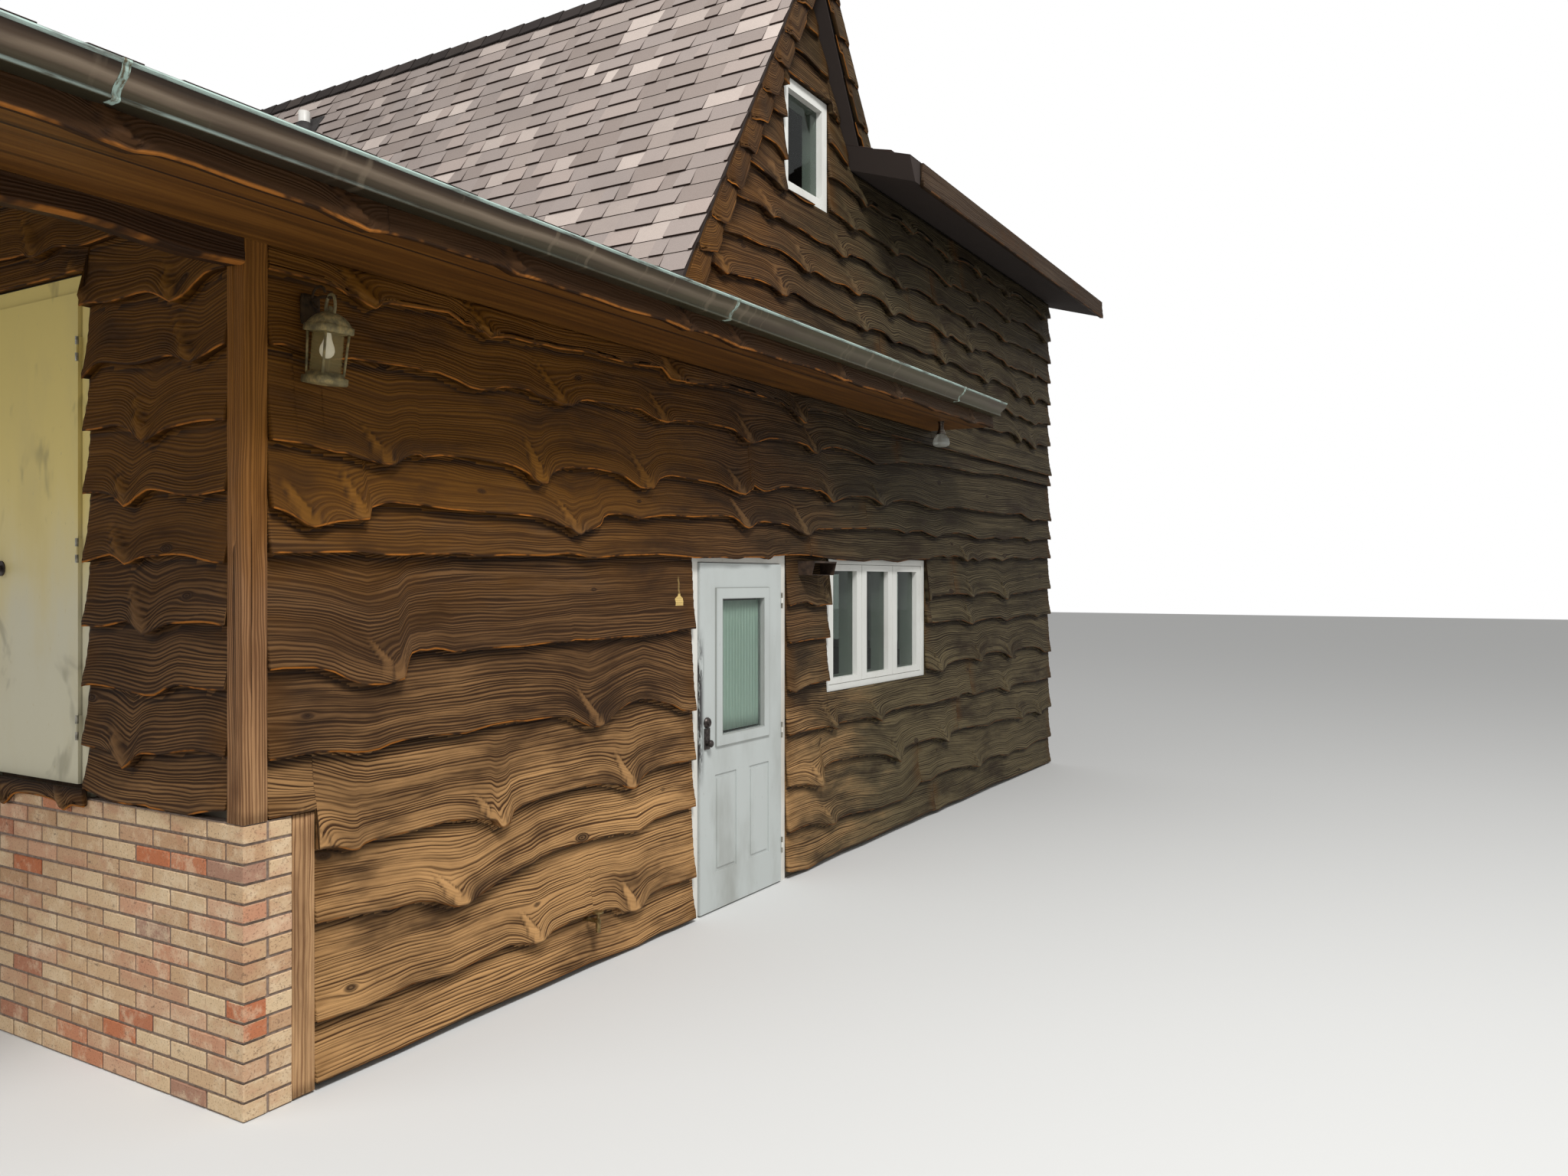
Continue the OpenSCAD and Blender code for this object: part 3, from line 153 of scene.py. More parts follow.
def stretch(vector, scale):
    """The vector with each part multiplied by its own scale."""
    return add("VectorMath", {0: vector, 1: scale}, operation="MULTIPLY")


def noise(vector, scale, detail=3, rough=0.55, warp=0.0):
    """Cloudy noise from 0 to 1 along a vector; three scales stretch it."""
    if isinstance(scale, tuple):
        vector, scale = stretch(vector, scale), 1.0
    inputs = {"Vector": vector, "Scale": scale, "Detail": detail, "Roughness": rough, "Distortion": warp}
    return add("TexNoise", inputs)


def ramp(factor, *stops):
    """Colours blended along a factor; stops are (place, colour)."""
    made = add("ValToRGB", {"Fac": factor})
    elements = made.socket.node.color_ramp.elements
    while len(elements) < len(stops):
        elements.new(0.5)
    for element, (place, shade) in zip(elements, stops):
        element.position, element.color = place, srgb(*shade)
    return made


def step(value, low, high):
    """0 under low, 1 over high, and a smooth climb between them; low may be the greater one."""
    inputs = {"Value": value, "From Min": low, "From Max": high}
    return add("MapRange", inputs, interpolation_type="SMOOTHSTEP")


def mix(factor, a, b):
    """Two colours mixed by a factor; the node keeps its colour sockets at 6 and 7, its colour output at 2."""
    made = add("Mix", data_type="RGBA")[2]
    for place, value in ((0, factor), (6, a), (7, b)):
        plug(made.socket.node.inputs[place], value)
    return made


def coats(shade, *layers):
    """Colours laid one over the other, each by its own factor."""
    for factor, layer in layers:
        shade = mix(factor, shade, layer)
    return shade


print("white is", srgb(255, 255, 255))

# %% [markdown]
# ## Starting a finish
# `finish` starts a material, and the helpers above and below then work on that one, so no formula has to
# name its tree. `mottled` is the shortest finish of all: one cloudy noise that shifts between two or three
# shades, which is enough for mortar, lead, plaster or rust.

# %% Starting a finish
def finish(name, roughness=0.6, metallic=0.0, gloss=0.5, sockets=()):
    """Starts a material. Weathered stuff mirrors less than varnish or metal, so it takes a lower gloss."""
    material = bpy.data.materials.new(name)
    material.use_nodes = True
    in_hand["tree"] = material.node_tree
    material.node_tree.nodes.clear()
    inputs = {"Roughness": roughness, "Metallic": metallic, "Specular IOR Level": gloss, **dict(sockets)}
    shader = add("BsdfPrincipled", inputs)
    add("OutputMaterial", {"Surface": shader})
    in_hand["shader"] = shader.socket.node
    return material


def feed(key, value):
    """Sets or joins an input of the shader in hand."""
    plug(in_hand["shader"].inputs[key], value)


def bump(height, strength, distance):
    """Dents the shading by a height, without moving the surface."""
    feed("Normal", add("Bump", {"Height": height, "Strength": strength, "Distance": distance}))


def mottled(name, look, cloud, *stops, dents=None):
    """A finish whose shade follows one cloudy noise. look holds finish's values, cloud those of noise."""
    material = finish(name, **look)
    height = noise(own_place(), *cloud)
    feed("Base Color", ramp(height, *stops))
    if dents:
        bump(height, *dents)
    return material


print("helpers", [helper.__name__ for helper in (finish, feed, bump, mottled)])

# %% [markdown]
# ## Helpers for meshes
# Pieces are worked out as whole arrays. A part is (points, faces, UV places, attributes), or only the first
# two. `join` makes one part of several. `put` turns a part into an object, lets it ride with the house or a
# door leaf, gives it its finish, and hides the CAD solid it stands for, if any.

# %% Mesh helpers
def put(name, part, material, body="house", smooth=False, stands_for=None):
    """A mesh object from points (n, 3), face arrays (count, corners), UV places (n, 2) and attributes (n)."""
    points, faces, uv, attributes = (*part, None, {})[:4]
    mesh = bpy.data.meshes.new(name)
    corners = np.concatenate([f.ravel() for f in faces]).astype(np.int32)
    sizes = np.concatenate([np.full(len(f), f.shape[1]) for f in faces]).astype(np.int32)
    mesh.vertices.add(len(points))
    mesh.vertices.foreach_set("co", np.asarray(points, np.float32).ravel())
    mesh.loops.add(len(corners))
    mesh.loops.foreach_set("vertex_index", corners)
    mesh.polygons.add(len(sizes))
    mesh.polygons.foreach_set("loop_start", np.concatenate([[0], np.cumsum(sizes)[:-1]]).astype(np.int32))
    mesh.update(calc_edges=True)
    if uv is not None:
        layer = mesh.uv_layers.new(name="grain")
        layer.data.foreach_set("uv", np.asarray(uv, np.float32)[corners].ravel())
    for key, values in attributes.items():
        mesh.attributes.new(key, "FLOAT", "POINT").data.foreach_set("value", np.asarray(values, np.float32))
    mesh.validate()
    mesh.shade_smooth() if smooth else mesh.shade_flat()
    piece = bpy.data.objects.new(name, mesh)
    bpy.context.scene.collection.objects.link(piece)
    mesh.materials.append(material)
    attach(piece, body)
    if stands_for:
        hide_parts(stands_for)
    low, high = points.min(0).round(3), points.max(0).round(3)
    print(name, int((sizes - 2).sum()), "triangles, from", low, "to", high)


def join(parts):
    """Several parts of one kind as one."""
    faces, count = [], 0
    for part in parts:
        faces += [f + count for f in part[1]]
        count += len(part[0])
    joined = [np.concatenate([part[0] for part in parts]), faces]
    if len(parts[0]) == 4:
        joined.append(None if parts[0][2] is None else np.concatenate([part[2] for part in parts]))
        joined.append({key: np.concatenate([part[3][key] for part in parts]) for key in parts[0][3]})
    return tuple(joined)


def paint(names, material):
    """Gives CAD solids a finish."""
    for name in names:
        nodes[name].data.materials.clear()
        nodes[name].data.materials.append(material)


print("mesh helpers ready")

# %% [markdown]
# ## Faces
# Most pieces are grids or tubes, so their faces follow from the number of rows and columns alone. A closed
# body has to face outwards, or it is shaded wrongly. That could be tested by eye, but the volume that the
# faces enclose tells it for certain: it is negative when they are inside out.

# %% Faces of grids and tubes
def outward(points, faces):
    """The faces, turned round if the volume they enclose comes out negative."""
    volume = 0.0
    for f in faces:
        first = points[f[:, 0]]
        for k in range(1, f.shape[1] - 1):
            volume += np.einsum("ij,ij->", first, np.cross(points[f[:, k]], points[f[:, k + 1]]))
    return faces if volume > 0 else [f[:, ::-1] for f in faces]


def grid_faces(rows, columns, wrap=False):
    """Quads between neighbours of a rows x columns grid; wrap joins the last row to the first."""
    r = np.arange(rows if wrap else rows - 1)[:, None]
    c = np.arange(columns - 1)[None, :]
    below = (r + 1) % rows
    return np.stack([r * columns + c, r * columns + c + 1, below * columns + c + 1, below * columns + c],
                    -1).reshape(-1, 4)


def tube(rings):
    """Points and faces of rings (count, sides, 3): quads round the side, a cap at each end."""
    count, sides = rings.shape[:2]
    k = np.arange(sides)
    rows, after = np.arange(count - 1)[:, None] * sides, (k + 1) % sides
    side = np.stack([rows + k, rows + after, rows + sides + after, rows + sides + k], -1)
    points = rings.reshape(-1, 3)
    caps = [k[::-1][None], (k + (count - 1) * sides)[None]]
    return points, outward(points, [side.reshape(-1, 4)] + caps)


def repeated(faces, count, points_each):
    """The faces of one small body, repeated for count bodies."""
    return (faces[None] + (np.arange(count) * points_each)[:, None, None]).reshape(-1, faces.shape[1])


print("a 3 x 4 grid has", len(grid_faces(3, 4)), "faces")

# %% [markdown]
# ## Stained live-edge wood
# The boards are sawn from logs with their natural edge kept. Dark oil stain has worn off the raised grain,
# so pale lines 10 to 20 mm apart follow the live edge, bend round branch stubs and ring the knots.
# The grain could be an image, but a pattern worked out along the board's own UV map has no seams: u runs
# along the board, and v is the height over the live edge, so every line follows the edge by itself.

# %% Board wood
line_gap = 0.0135
spot_x, spot_z = -2.024, 1.80


def grain():
    """Height of the raised grain from 0 to 1, and the knots' mask, along the UV map named grain.
    Round a knot of radius a the rings part like water round a pole: v' = v * (1 - a^2 / r^2), where v is
    measured from the knot's centre and r is the distance to it; inside the knot they are circles."""
    uv = add("UVMap", uv_map="grain")
    u, v, _ = parts_of(uv)
    squeeze = (0.8, 2.6, 1)
    cells = add("TexVoronoi", {"Vector": stretch(uv, squeeze), "Scale": 1.0}, voronoi_dimensions="2D")
    away = add("VectorMath", {0: stretch(uv, squeeze), 1: cells["Position"]}, operation="SUBTRACT")
    across, over, _ = parts_of(stretch(away, (0.45 / 0.8, 1 / 2.6, 0)))
    r = calc("SQRT", across ** 2 + over ** 2)
    luck = parts_of(cells["Color"])[0]
    a = add("MapRange", {"Value": luck, "From Min": 0.35, "From Max": 1.0, "To Min": 0.0, "To Max": 0.022})
    parted = a * a / calc("MAXIMUM", r, a) ** 2 * step(r, 0.2, 0.08)
    sway = noise(uv, (1.0, 4.2, 1), 3, 0.5) * 0.085
    bent = v - over * parted + sway + calc("MINIMUM", r - a, 0.0) * 1.4
    knot = step(r - a, 0.006, -0.004) * step(a, 0.002, 0.008)
    flow = add("CombineXYZ", {0: u, 1: bent})
    uneven = noise(flow, (0.45, 16.0, 1), 2, 0.5) * 0.05
    lines = calc("SINE", (bent + uneven) * (2 * math.pi / line_gap))
    bands, fibre = noise(flow, (0.9, 46.0, 1), 4, 0.65), noise(flow, (7.0, 520.0, 1), 2, 0.6)
    strong = step(noise(flow, (0.7, 5.0, 1), 2), 0.3, 0.6)
    return lines * (strong * 0.13 + 0.05) + bands * 0.8 + fibre * 0.24, knot, flow


def bare_patch(xyz, ragged):
    """A bell-shaped spot of bare wood left of the door, 65 mm wide, where a fitting was taken off, with the
    thin pale line above it: inside where |x - x0| < half, and half falls from 36 to 12 mm at the shoulder."""
    x, y, z = xyz
    off, rise = abs(x - spot_x), z - spot_z
    half = step(rise, 0.056, 0.038) * 0.024 + 0.012 + (ragged - 0.5) * 0.03
    bell = calc("LESS_THAN", off, half) * step(rise, -0.001, 0.001) * step(rise, 0.068, 0.064)
    line = step(off, 0.009, 0.004) * step(rise, 0.06, 0.07) * step(rise, 0.17, 0.14)
    return calc("MAXIMUM", bell, line * 0.3) * step(y, -3.5, -3.55)


def board_wood(name, gold, brown, tan, weathered, reach=0.008, ragged=0.42, boards=False):
    """Stained wood. The grain's height picks between a stain and its worn, paler shade, the first two of
    each set of colours. Both shift from golden under the left eave to brown, to a lighter tan low down that
    is partly bleaching and partly painted sunlight, and to grey-brown along the lake end. gold[2] is the live
    edge's own colour, which shows up to reach over it, and brown[2] darkens patches. Painted shade darkens
    the waney edge, the creases beside the stubs and the strip under each lap. Wall boards under the porch
    roof get less of the light tan, as painted shade of the porch roof, and those by the door have the bare
    patch."""
    material = finish(name, 0.62, gloss=0.12)
    height, knot, flow = grain()
    x, y, z = parts_of(own_place())
    edge, stub = attribute("edge"), attribute("stub")
    cloud = noise(flow, (1.1, 4.0, 1), 4, 0.65)
    patch = noise(flow, (5.0, 5.0, 1), 3, 0.6)
    drift = (cloud - 0.5) * 3
    golden = step(x + drift, -1.0, -3.2) * step(z + drift * 0.5, 1.7, 2.5)
    far = step(x + drift, -1.6, 0.7)
    # Lighter tan low on the walls: partly bleaching, partly painted sunlight; less of it under the porch
    # roof, as painted shade.
    bleached_and_sunlit = step(z + drift * 0.3, 1.7, 0.5) * 0.8
    if boards:
        bleached_and_sunlit = bleached_and_sunlit * (1 - step(x, -4.62, -4.64) * 0.75)
    worn_and_sunlit = calc("MAXIMUM", far, bleached_and_sunlit)

    def along_the_wall(k):
        """The stain (0) or its worn shade (1), from one end of the house to the other."""
        return mix(golden, mix(far, mix(bleached_and_sunlit, brown[k], tan[k]), weathered[k]), gold[k])

    stain, pale = mix(attribute("tone") * 0.4, along_the_wall(0), brown[2]), along_the_wall(1)
    calm = golden * 0.2 + step(z, 1.2, 2.4) * 0.3
    rubbed = step(height + bleached_and_sunlit * 0.13, 0.4, 0.66) * step(cloud, 0.88, 0.34) * (1 - calm)
    rust = step(attribute("ends"), 0.16, 0.0) * step(cloud, 0.38, 0.6)
    # Painted shadow: the strip just under the next board's live edge is darkened.
    lap_shadow = step(attribute("under") + (cloud - 0.5) * 0.04, 0.045, 0.01)
    live = step(edge / (patch * 1.5 + 0.3), reach, reach * 0.4) * step(patch, ragged, ragged + 0.16)
    shade = coats(
        stain,
        (rubbed, pale),
        (step(cloud, 0.52, 0.72) * 0.55, brown[2]),
        (rust * 0.4, gold[0]),
        (stub * (0.75 - (far * 0.5 + golden * 0.35)), pale),
        # painted shade in the creases beside each stub
        (attribute("crease") * 0.6, (34, 22, 15)),
        # painted shade on the waney edge and its underside
        (step(edge, 0.012, 0.004) * 0.7, (40, 25, 15)),
        # painted shadow under the lap above
        (lap_shadow * 0.8, (30, 19, 12)),
        (live * (0.85 - worn_and_sunlit * 0.65), gold[2]),
        (knot * 0.7, (38, 24, 15)),
    )
    if boards:
        shade = mix(bare_patch((x, y, z), patch), shade, (205, 176, 112))
    feed("Base Color", shade)
    feed("Roughness", add("MapRange", {"Value": height, "To Min": 0.8, "To Max": 0.52}))
    bump(height * (1 - stub * 0.7), 0.9, 0.007)
    return material


boards_finish = board_wood(
    "live_edge_wood",
    gold=((88, 54, 13), (132, 87, 26), (170, 104, 36)),
    brown=((52, 33, 17), (110, 79, 48), (40, 26, 15)),
    # tan: the lighter shades low down, partly bleaching and partly painted sunlight
    tan=((82, 53, 29), (196, 151, 99)),
    weathered=((39, 32, 20), (99, 87, 62)),
    boards=True,
)
print("board wood", len(boards_finish.node_tree.nodes), "nodes")

# %% [markdown]
# ## Live-edge boards
# Each CAD board is a flat slab whose lower outline is the log's edge. The visible board is a closed tube
# over the same outline: a grid across its face, a rounded waney edge, and a back. Its outline is measured
# on the solid, column by column, so that both always agree. At each lobe the grid rises over a branch stub.

# %% Board outlines
def flat_faces(name, turn, largest_left=0.004, facing=-0.3):
    """Planes that face -Y on a solid, once it is turned, each with its triangles as places along and up
    the plane. The largest triangle left gives the next plane, and all that lie in it are taken with it."""
    mesh = nodes[name].data
    mesh.calc_loop_triangles()
    co = np.empty(len(mesh.vertices) * 3, np.float32)
    mesh.vertices.foreach_get("co", co)
    tri = np.empty(len(mesh.loop_triangles) * 3, np.int32)
    mesh.loop_triangles.foreach_get("vertices", tri)
    corners = (co.reshape(-1, 3).astype(float) @ turn.T)[tri.reshape(-1, 3)]
    normal = np.cross(corners[:, 1] - corners[:, 0], corners[:, 2] - corners[:, 0])
    area = np.linalg.norm(normal, axis=1)
    normal = normal / np.maximum(area, 1e-12)[:, None]
    left = (normal[:, 1] < facing) & (area > 1e-8)
    found = []
    while left.any() and area[left].max() > largest_left:
        first = np.where(left, area, 0).argmax()
        n = normal[first]
        off = n @ corners[first, 0]
        on = left & (np.abs(corners @ n - off).max(1) < 4e-4)
        left &= ~on
        up = np.cross(n, [1.0, 0, 0])
        up *= np.sign(up[2]) / np.linalg.norm(up)
        found.append((n, off, up, np.stack([corners[on][..., 0], corners[on] @ up], -1)))
    return found


def crossings(triangles, at, along=0):
    """For each place at, the lowest and highest point of every triangle on that line (inf where none)."""
    a, b = triangles, np.roll(triangles, -1, axis=1)
    p, q = a[..., along][None], b[..., along][None]
    place = np.asarray(at)[:, None, None]
    part = (place - p) / np.where(np.abs(q - p) < 1e-9, 1e-9, q - p)
    value = a[..., 1 - along] + np.clip(part, 0, 1) * (b[..., 1 - along] - a[..., 1 - along])
    hit = (np.minimum(p, q) <= place) & (place <= np.maximum(p, q))
    return np.where(hit, value, np.inf).min(2), np.where(hit, value, -np.inf).max(2)


def board_runs(triangles, spacing, butts=()):
    """Columns along each board of one course: their places, and the board's lowest and highest point."""
    x = triangles[..., 0]
    low, high = x.min(), x.max()
    ends = np.concatenate([triangles, np.roll(triangles, -1, axis=1)], -1).reshape(-1, 4)
    upright = (np.abs(ends[:, 0] - ends[:, 2]) < 2e-5) & (np.abs(ends[:, 1] - ends[:, 3]) > 0.006)
    cuts = np.concatenate([np.unique(np.round(ends[upright, 0], 4)), np.asarray(butts, float)])
    xs = np.linspace(low, high, max(4, int((high - low) / spacing)))
    xs = np.unique(np.clip(np.concatenate([xs, cuts - 6e-4, cuts + 6e-4]), low + 5e-5, high - 5e-5))
    lows, highs = crossings(triangles, xs)
    bottom, top = lows.min(1), highs.max(1)
    there = np.isfinite(bottom) & (top - bottom > 0.004)
    split = np.diff(there.astype(int)) != 0
    for butt in butts:
        split |= (xs[:-1] < butt) & (butt < xs[1:])
    runs = np.split(np.arange(len(xs)), np.flatnonzero(split) + 1)
    return [(xs[r], bottom[r], top[r]) for r in runs if there[r[0]] and len(r) > 3]


walls = {
    "front": np.eye(3),
    "back": np.diag([-1.0, -1.0, 1.0]),
    "lake": np.array([[0, 1.0, 0], [-1.0, 0, 0], [0, 0, 1.0]]),
    "porch": np.array([[0, -1.0, 0], [1.0, 0, 0], [0, 0, 1.0]]),
}
courses = {wall: flat_faces("siding_" + wall, turn) for wall, turn in walls.items()}
print("courses", {wall: len(found) for wall, found in courses.items()})

# %% [markdown]
# ## Building the boards
# A board's section is drawn once, from the back, round the waney edge, over the face and up to the top, and
# carried along all columns at the same time. The face is not flat: broad ridges follow the live edge, and
# at each lobe a branch stub lies as a low wedge that runs down into the tip.

# %% Boards
board_t, waney = 0.022, 0.034


def lobe_tips(x, bottom, least):
    """Places where the live edge hangs at least so far under its own average over 0.4 m."""
    even = np.arange(x[0], x[-1], 0.02)
    edge = np.interp(even, x, bottom)
    if len(even) < 30:
        return []
    window = np.ones(21) / 21
    dip = np.convolve(np.pad(edge, 10, mode="edge"), window, mode="valid") - edge
    deepest = [dip[max(0, i - 9):i + 10].max() for i in range(len(dip))]
    best = [i for i in range(2, len(even) - 2) if dip[i] > least and dip[i] == deepest[i]]
    return [(even[i], edge[i]) for i in best]


def board(x, bottom, top, row_gap, seed, thick, least=0.018):
    """One board as a closed tube. Row by row, place = (x, height h, depth d) with
    h = bottom + share of the height, d = waney * 0.2 * (1 - s / waney)^2 near the live edge (s is the height
    over it), less ridges of 1 mm that follow v, the height over the flattened live edge. A stub is a facet
    that rises from its left side to its right one. The foot stands out by 16 mm * (1 - s / 0.15)^1.6, and by
    12 mm more where a ridge runs up from a lobe."""
    dice = np.random.default_rng(seed)
    tall = top - bottom
    rows = max(5, int(0.85 * np.median(tall) / row_gap))
    share = np.concatenate([np.linspace(0.13, 0.86, rows), [1.0]])
    small = np.minimum(1, tall / 0.05)[None, :]
    edge_s = np.array([0.0035, 0.0, 0.0015, 0.006, 0.013, 0.022])[:, None] * small
    s = np.vstack([edge_s, share[:, None] * tall[None, :]])
    h = bottom[None, :] + s
    knots = np.linspace(x[0], x[-1], 7)
    smooth = np.interp(x, knots, np.interp(knots, x, bottom))
    fade = np.clip(1 - s / np.maximum(tall, 0.05), 0, 1) ** 1.5
    v = h - smooth[None, :] - (bottom - smooth)[None, :] * fade
    stub, facet, crease, flare, ridge = np.zeros((5, *h.shape))
    for tip_x, tip_h in lobe_tips(x, bottom, least):
        lean, size = dice.uniform(0.4, 0.9), dice.uniform(0.026, 0.042)
        along = (h - tip_h) / dice.uniform(0.18, 0.26)
        across = (x[None, :] - tip_x) + (h - tip_h) * lean
        wide = size * (1.4 - 1.15 * np.clip(along, 0, 1))
        near = np.exp(-((across / (2.4 * size)) ** 2)) * np.clip(1.1 - along, 0, 1)
        inside = (along > -0.05) * np.clip((0.95 - along) * 4, 0, 1)
        v = v + 0.05 * near
        stub = np.maximum(stub, np.clip(3 * (1 - np.abs(across) / wide), 0, 1) * inside)
        wedge = np.clip(across / wide + 1, 0, 2) * np.clip((wide - across) / 0.012, 0, 1)
        facet = np.maximum(facet, wedge * inside)
        crease = np.maximum(crease, np.exp(-(((np.abs(across) - wide) / 0.006) ** 2)) * inside)
        flare = np.maximum(flare, near * np.clip(1 - along, 0, 1))
        ridge = np.maximum(ridge, np.exp(-((across / 0.085) ** 2)))
    rolled = np.array([0.62 * thick, 0.38 * thick, 0.2 * thick, 0.0025, 0.001, 0.0005])
    lift = 0.0012 + 0.0012 * np.sin(2 * np.pi * v / 0.052 + 1.7 * np.sin(1.3 * x + seed)[None, :])
    lift += 0.0007 * np.sin(2 * np.pi * v / 0.027 + 2.1 * np.sin(0.9 * x - seed)[None, :])
    lift += 0.004 * crease - 0.007 * facet - 0.010 * flare
    lift *= np.clip((0.93 - s / tall) * 9, 0, 1) * np.clip(s / 0.02, 0, 1)
    d = 0.2 * waney * np.clip(1 - s / waney, 0, 1) ** 2 + lift
    d[:6] = np.maximum(d[:6], rolled[:, None]) * small + (1 - small) * d[:6]
    d -= (0.016 * small + 0.012 * ridge) * np.clip(1 - s / 0.15, 0, 1) ** 1.6 * (tall > 0.12)
    back, run = np.ones((2, len(x))), x - x[0]
    h = np.vstack([top, bottom + 0.006 * small[0], h])
    d = np.vstack([back * thick, d])
    u_start, tone_at = dice.uniform(0, 40), np.vstack([v[:1] - 0.02, v[:1], v])
    uv = np.stack([np.broadcast_to(run, h.shape) + u_start, tone_at + dice.integers(0, 60)], -1)
    attributes = {
        "tone": np.full(h.shape, dice.uniform(0, 1)), "edge": np.vstack([back, s]),
        "stub": np.vstack([0 * back, stub]), "crease": np.vstack([0 * back, crease]),
        "ends": np.broadcast_to(np.minimum(run, x[-1] - x), h.shape),
    }
    return h, d, uv, attributes


trial = board(np.linspace(0, 1, 40), np.zeros(40), np.full(40, 0.25), 0.02, 1, board_t)
print("a board 1 m long has", trial[0].size, "points")

# %% [markdown]
# ## Boards of a wall
# Each board laps the one below, and the strip just under a lap lies in the lap's shade. So each point is
# told how far it lies under the next board's live edge, and the finish darkens that strip as painted
# shadow. Long courses are sawn in two, because no log gives a board of nine metres.

# %% Boards of a wall
def closed_board(place, uv, attributes):
    """A board's grid (rows, columns, 3) as a part: the rows wrap round, and each end has a cap."""
    rows, columns = place.shape[:2]
    start = np.arange(rows) * columns
    faces = [grid_faces(rows, columns, wrap=True), start[None], start[::-1][None] + columns - 1]
    return place.reshape(-1, 3), faces, uv.reshape(-1, 2), {k: np.ravel(v) for k, v in attributes.items()}


def live_edges(found):
    """Heights of every course's live edge over a row of places along the wall, one line for each course."""
    places = np.arange(-9, 9, 0.02)
    lines = [np.interp(places, x, bottom * up[2] + off * n[2], left=99, right=99)
             for n, off, up, triangles in found for x, bottom, top in board_runs(triangles, 0.02)]
    return places, np.array(lines)


def under_lap(edges, x, z):
    """How far each point lies under the next live edge above it, up to 0.2 m."""
    places, lines = edges
    column = lines[:, np.clip(np.searchsorted(places, x), 0, len(places) - 1)]
    gap = column[:, None, :] - z[None]
    return np.minimum(np.where(gap > 0.006, gap, 9).min(0), 0.2)


everywhere, longest = (-99, 99), 5.2


def foot_of(course):
    """The height at which a course's live edge begins."""
    n, off, up, triangles = course
    return triangles[..., 1].min() * up[2] + off * n[2]


def board_mesh(found, turn, spacing, row_gap, thick=board_t, butts=(), between=everywhere, least=0.018,
               edges=None):
    """All boards on the planes found, as one part. A board longer than longest is sawn in two at a place
    that its number picks, unless butts says where, as (height of the course, x)."""
    parts = []
    edges = edges or live_edges(found)
    for order, (n, off, up, triangles) in enumerate(found):
        length = np.ptp(triangles[..., 0])
        here = [x for z, x in butts if abs(z - foot_of(found[order])) < 0.09]
        if length > longest and not here:
            here = [triangles[..., 0].min() + length * (0.38 + 0.24 * ((order * 0.618) % 1))]
        for x, bottom, top in board_runs(triangles, spacing, here):
            if between[0] <= x[0] < between[1]:
                h, d, uv, attributes = board(x, bottom, top, row_gap, order * 17 + len(parts), thick, least)
                place = x[None, :, None] * [1.0, 0, 0] + h[..., None] * up + (off - d)[..., None] * n
                attributes["under"] = under_lap(edges, x, place[..., 2])
                parts.append(closed_board(place, uv, attributes))
    points, faces, uv, attributes = join(parts)
    points = points @ turn
    return points, outward(points, faces), uv, attributes


def starts_between(wall, low, high):
    """The courses of a wall whose live edge begins between two heights."""
    return [course for course in courses[wall] if low <= foot_of(course) < high]


all_edges = {wall: live_edges(found) for wall, found in courses.items()}
print("live edges", {wall: len(lines) for wall, (places, lines) in all_edges.items()})

# %% [markdown]
# ## Laying the boards
# The wall beside the camera gets the finest grid, 13 by 8 mm, and walls that no one stands close to a coarser
# one. One fineness for all would be simpler, but would cost several times the faces. Three butt joints are
# seen on the real wall, and the boards are cut there.

# %% Laying the boards
read_butts = [(2.36, -1.31), (0.36, 1.08), (0.85, 2.4)]
door_left = -1.9
for name, wall, low, high, spacing, row_gap, least, between, node in (
    ("boards_front_left", "front", 0, 2.0, 0.013, 0.008, 0.018, (-99, door_left), None),
    ("boards_front_right", "front", 0, 2.0, 0.024, 0.013, 0.018, (door_left, 99), None),
    ("boards_front_middle", "front", 2.0, 3.2, 0.018, 0.011, 0.018, everywhere, "siding_front"),
    ("boards_front_gable", "front", 3.2, 9, 0.04, 0.022, 0.022, everywhere, None),
    ("boards_back", "back", 0, 9, 0.06, 0.034, 0.034, everywhere, "siding_back"),
    ("boards_lake", "lake", 0, 9, 0.06, 0.034, 0.034, everywhere, "siding_lake"),
    ("boards_porch", "porch", 0, 9, 0.03, 0.021, 0.018, everywhere, "siding_porch"),
):
    made = board_mesh(starts_between(wall, low, high), walls[wall], spacing, row_gap, butts=read_butts,
                      between=between, least=least, edges=all_edges[wall])
    put(name, made, boards_finish, smooth=True, stands_for=node)

# %% [markdown]
# ## Board ends over the roof edge
# On the steep gable the boards run out over the end of the roof, right up to the shingles, so that the
# roof's end shows no barge board. Each course goes on past its last board, cut along the slope. One plain
# barge board would be easier, but the stepped ends of the courses are what shows on the real gable. Each
# face leans by 12 mm from its foot to its head.

# %% Rake boards
ridge_x, ridge_z, steep_angle = -0.55, 6.255, math.radians(59.3)
steep = math.tan(steep_angle)
rake_deep, rake_face = 0.29, -3.768


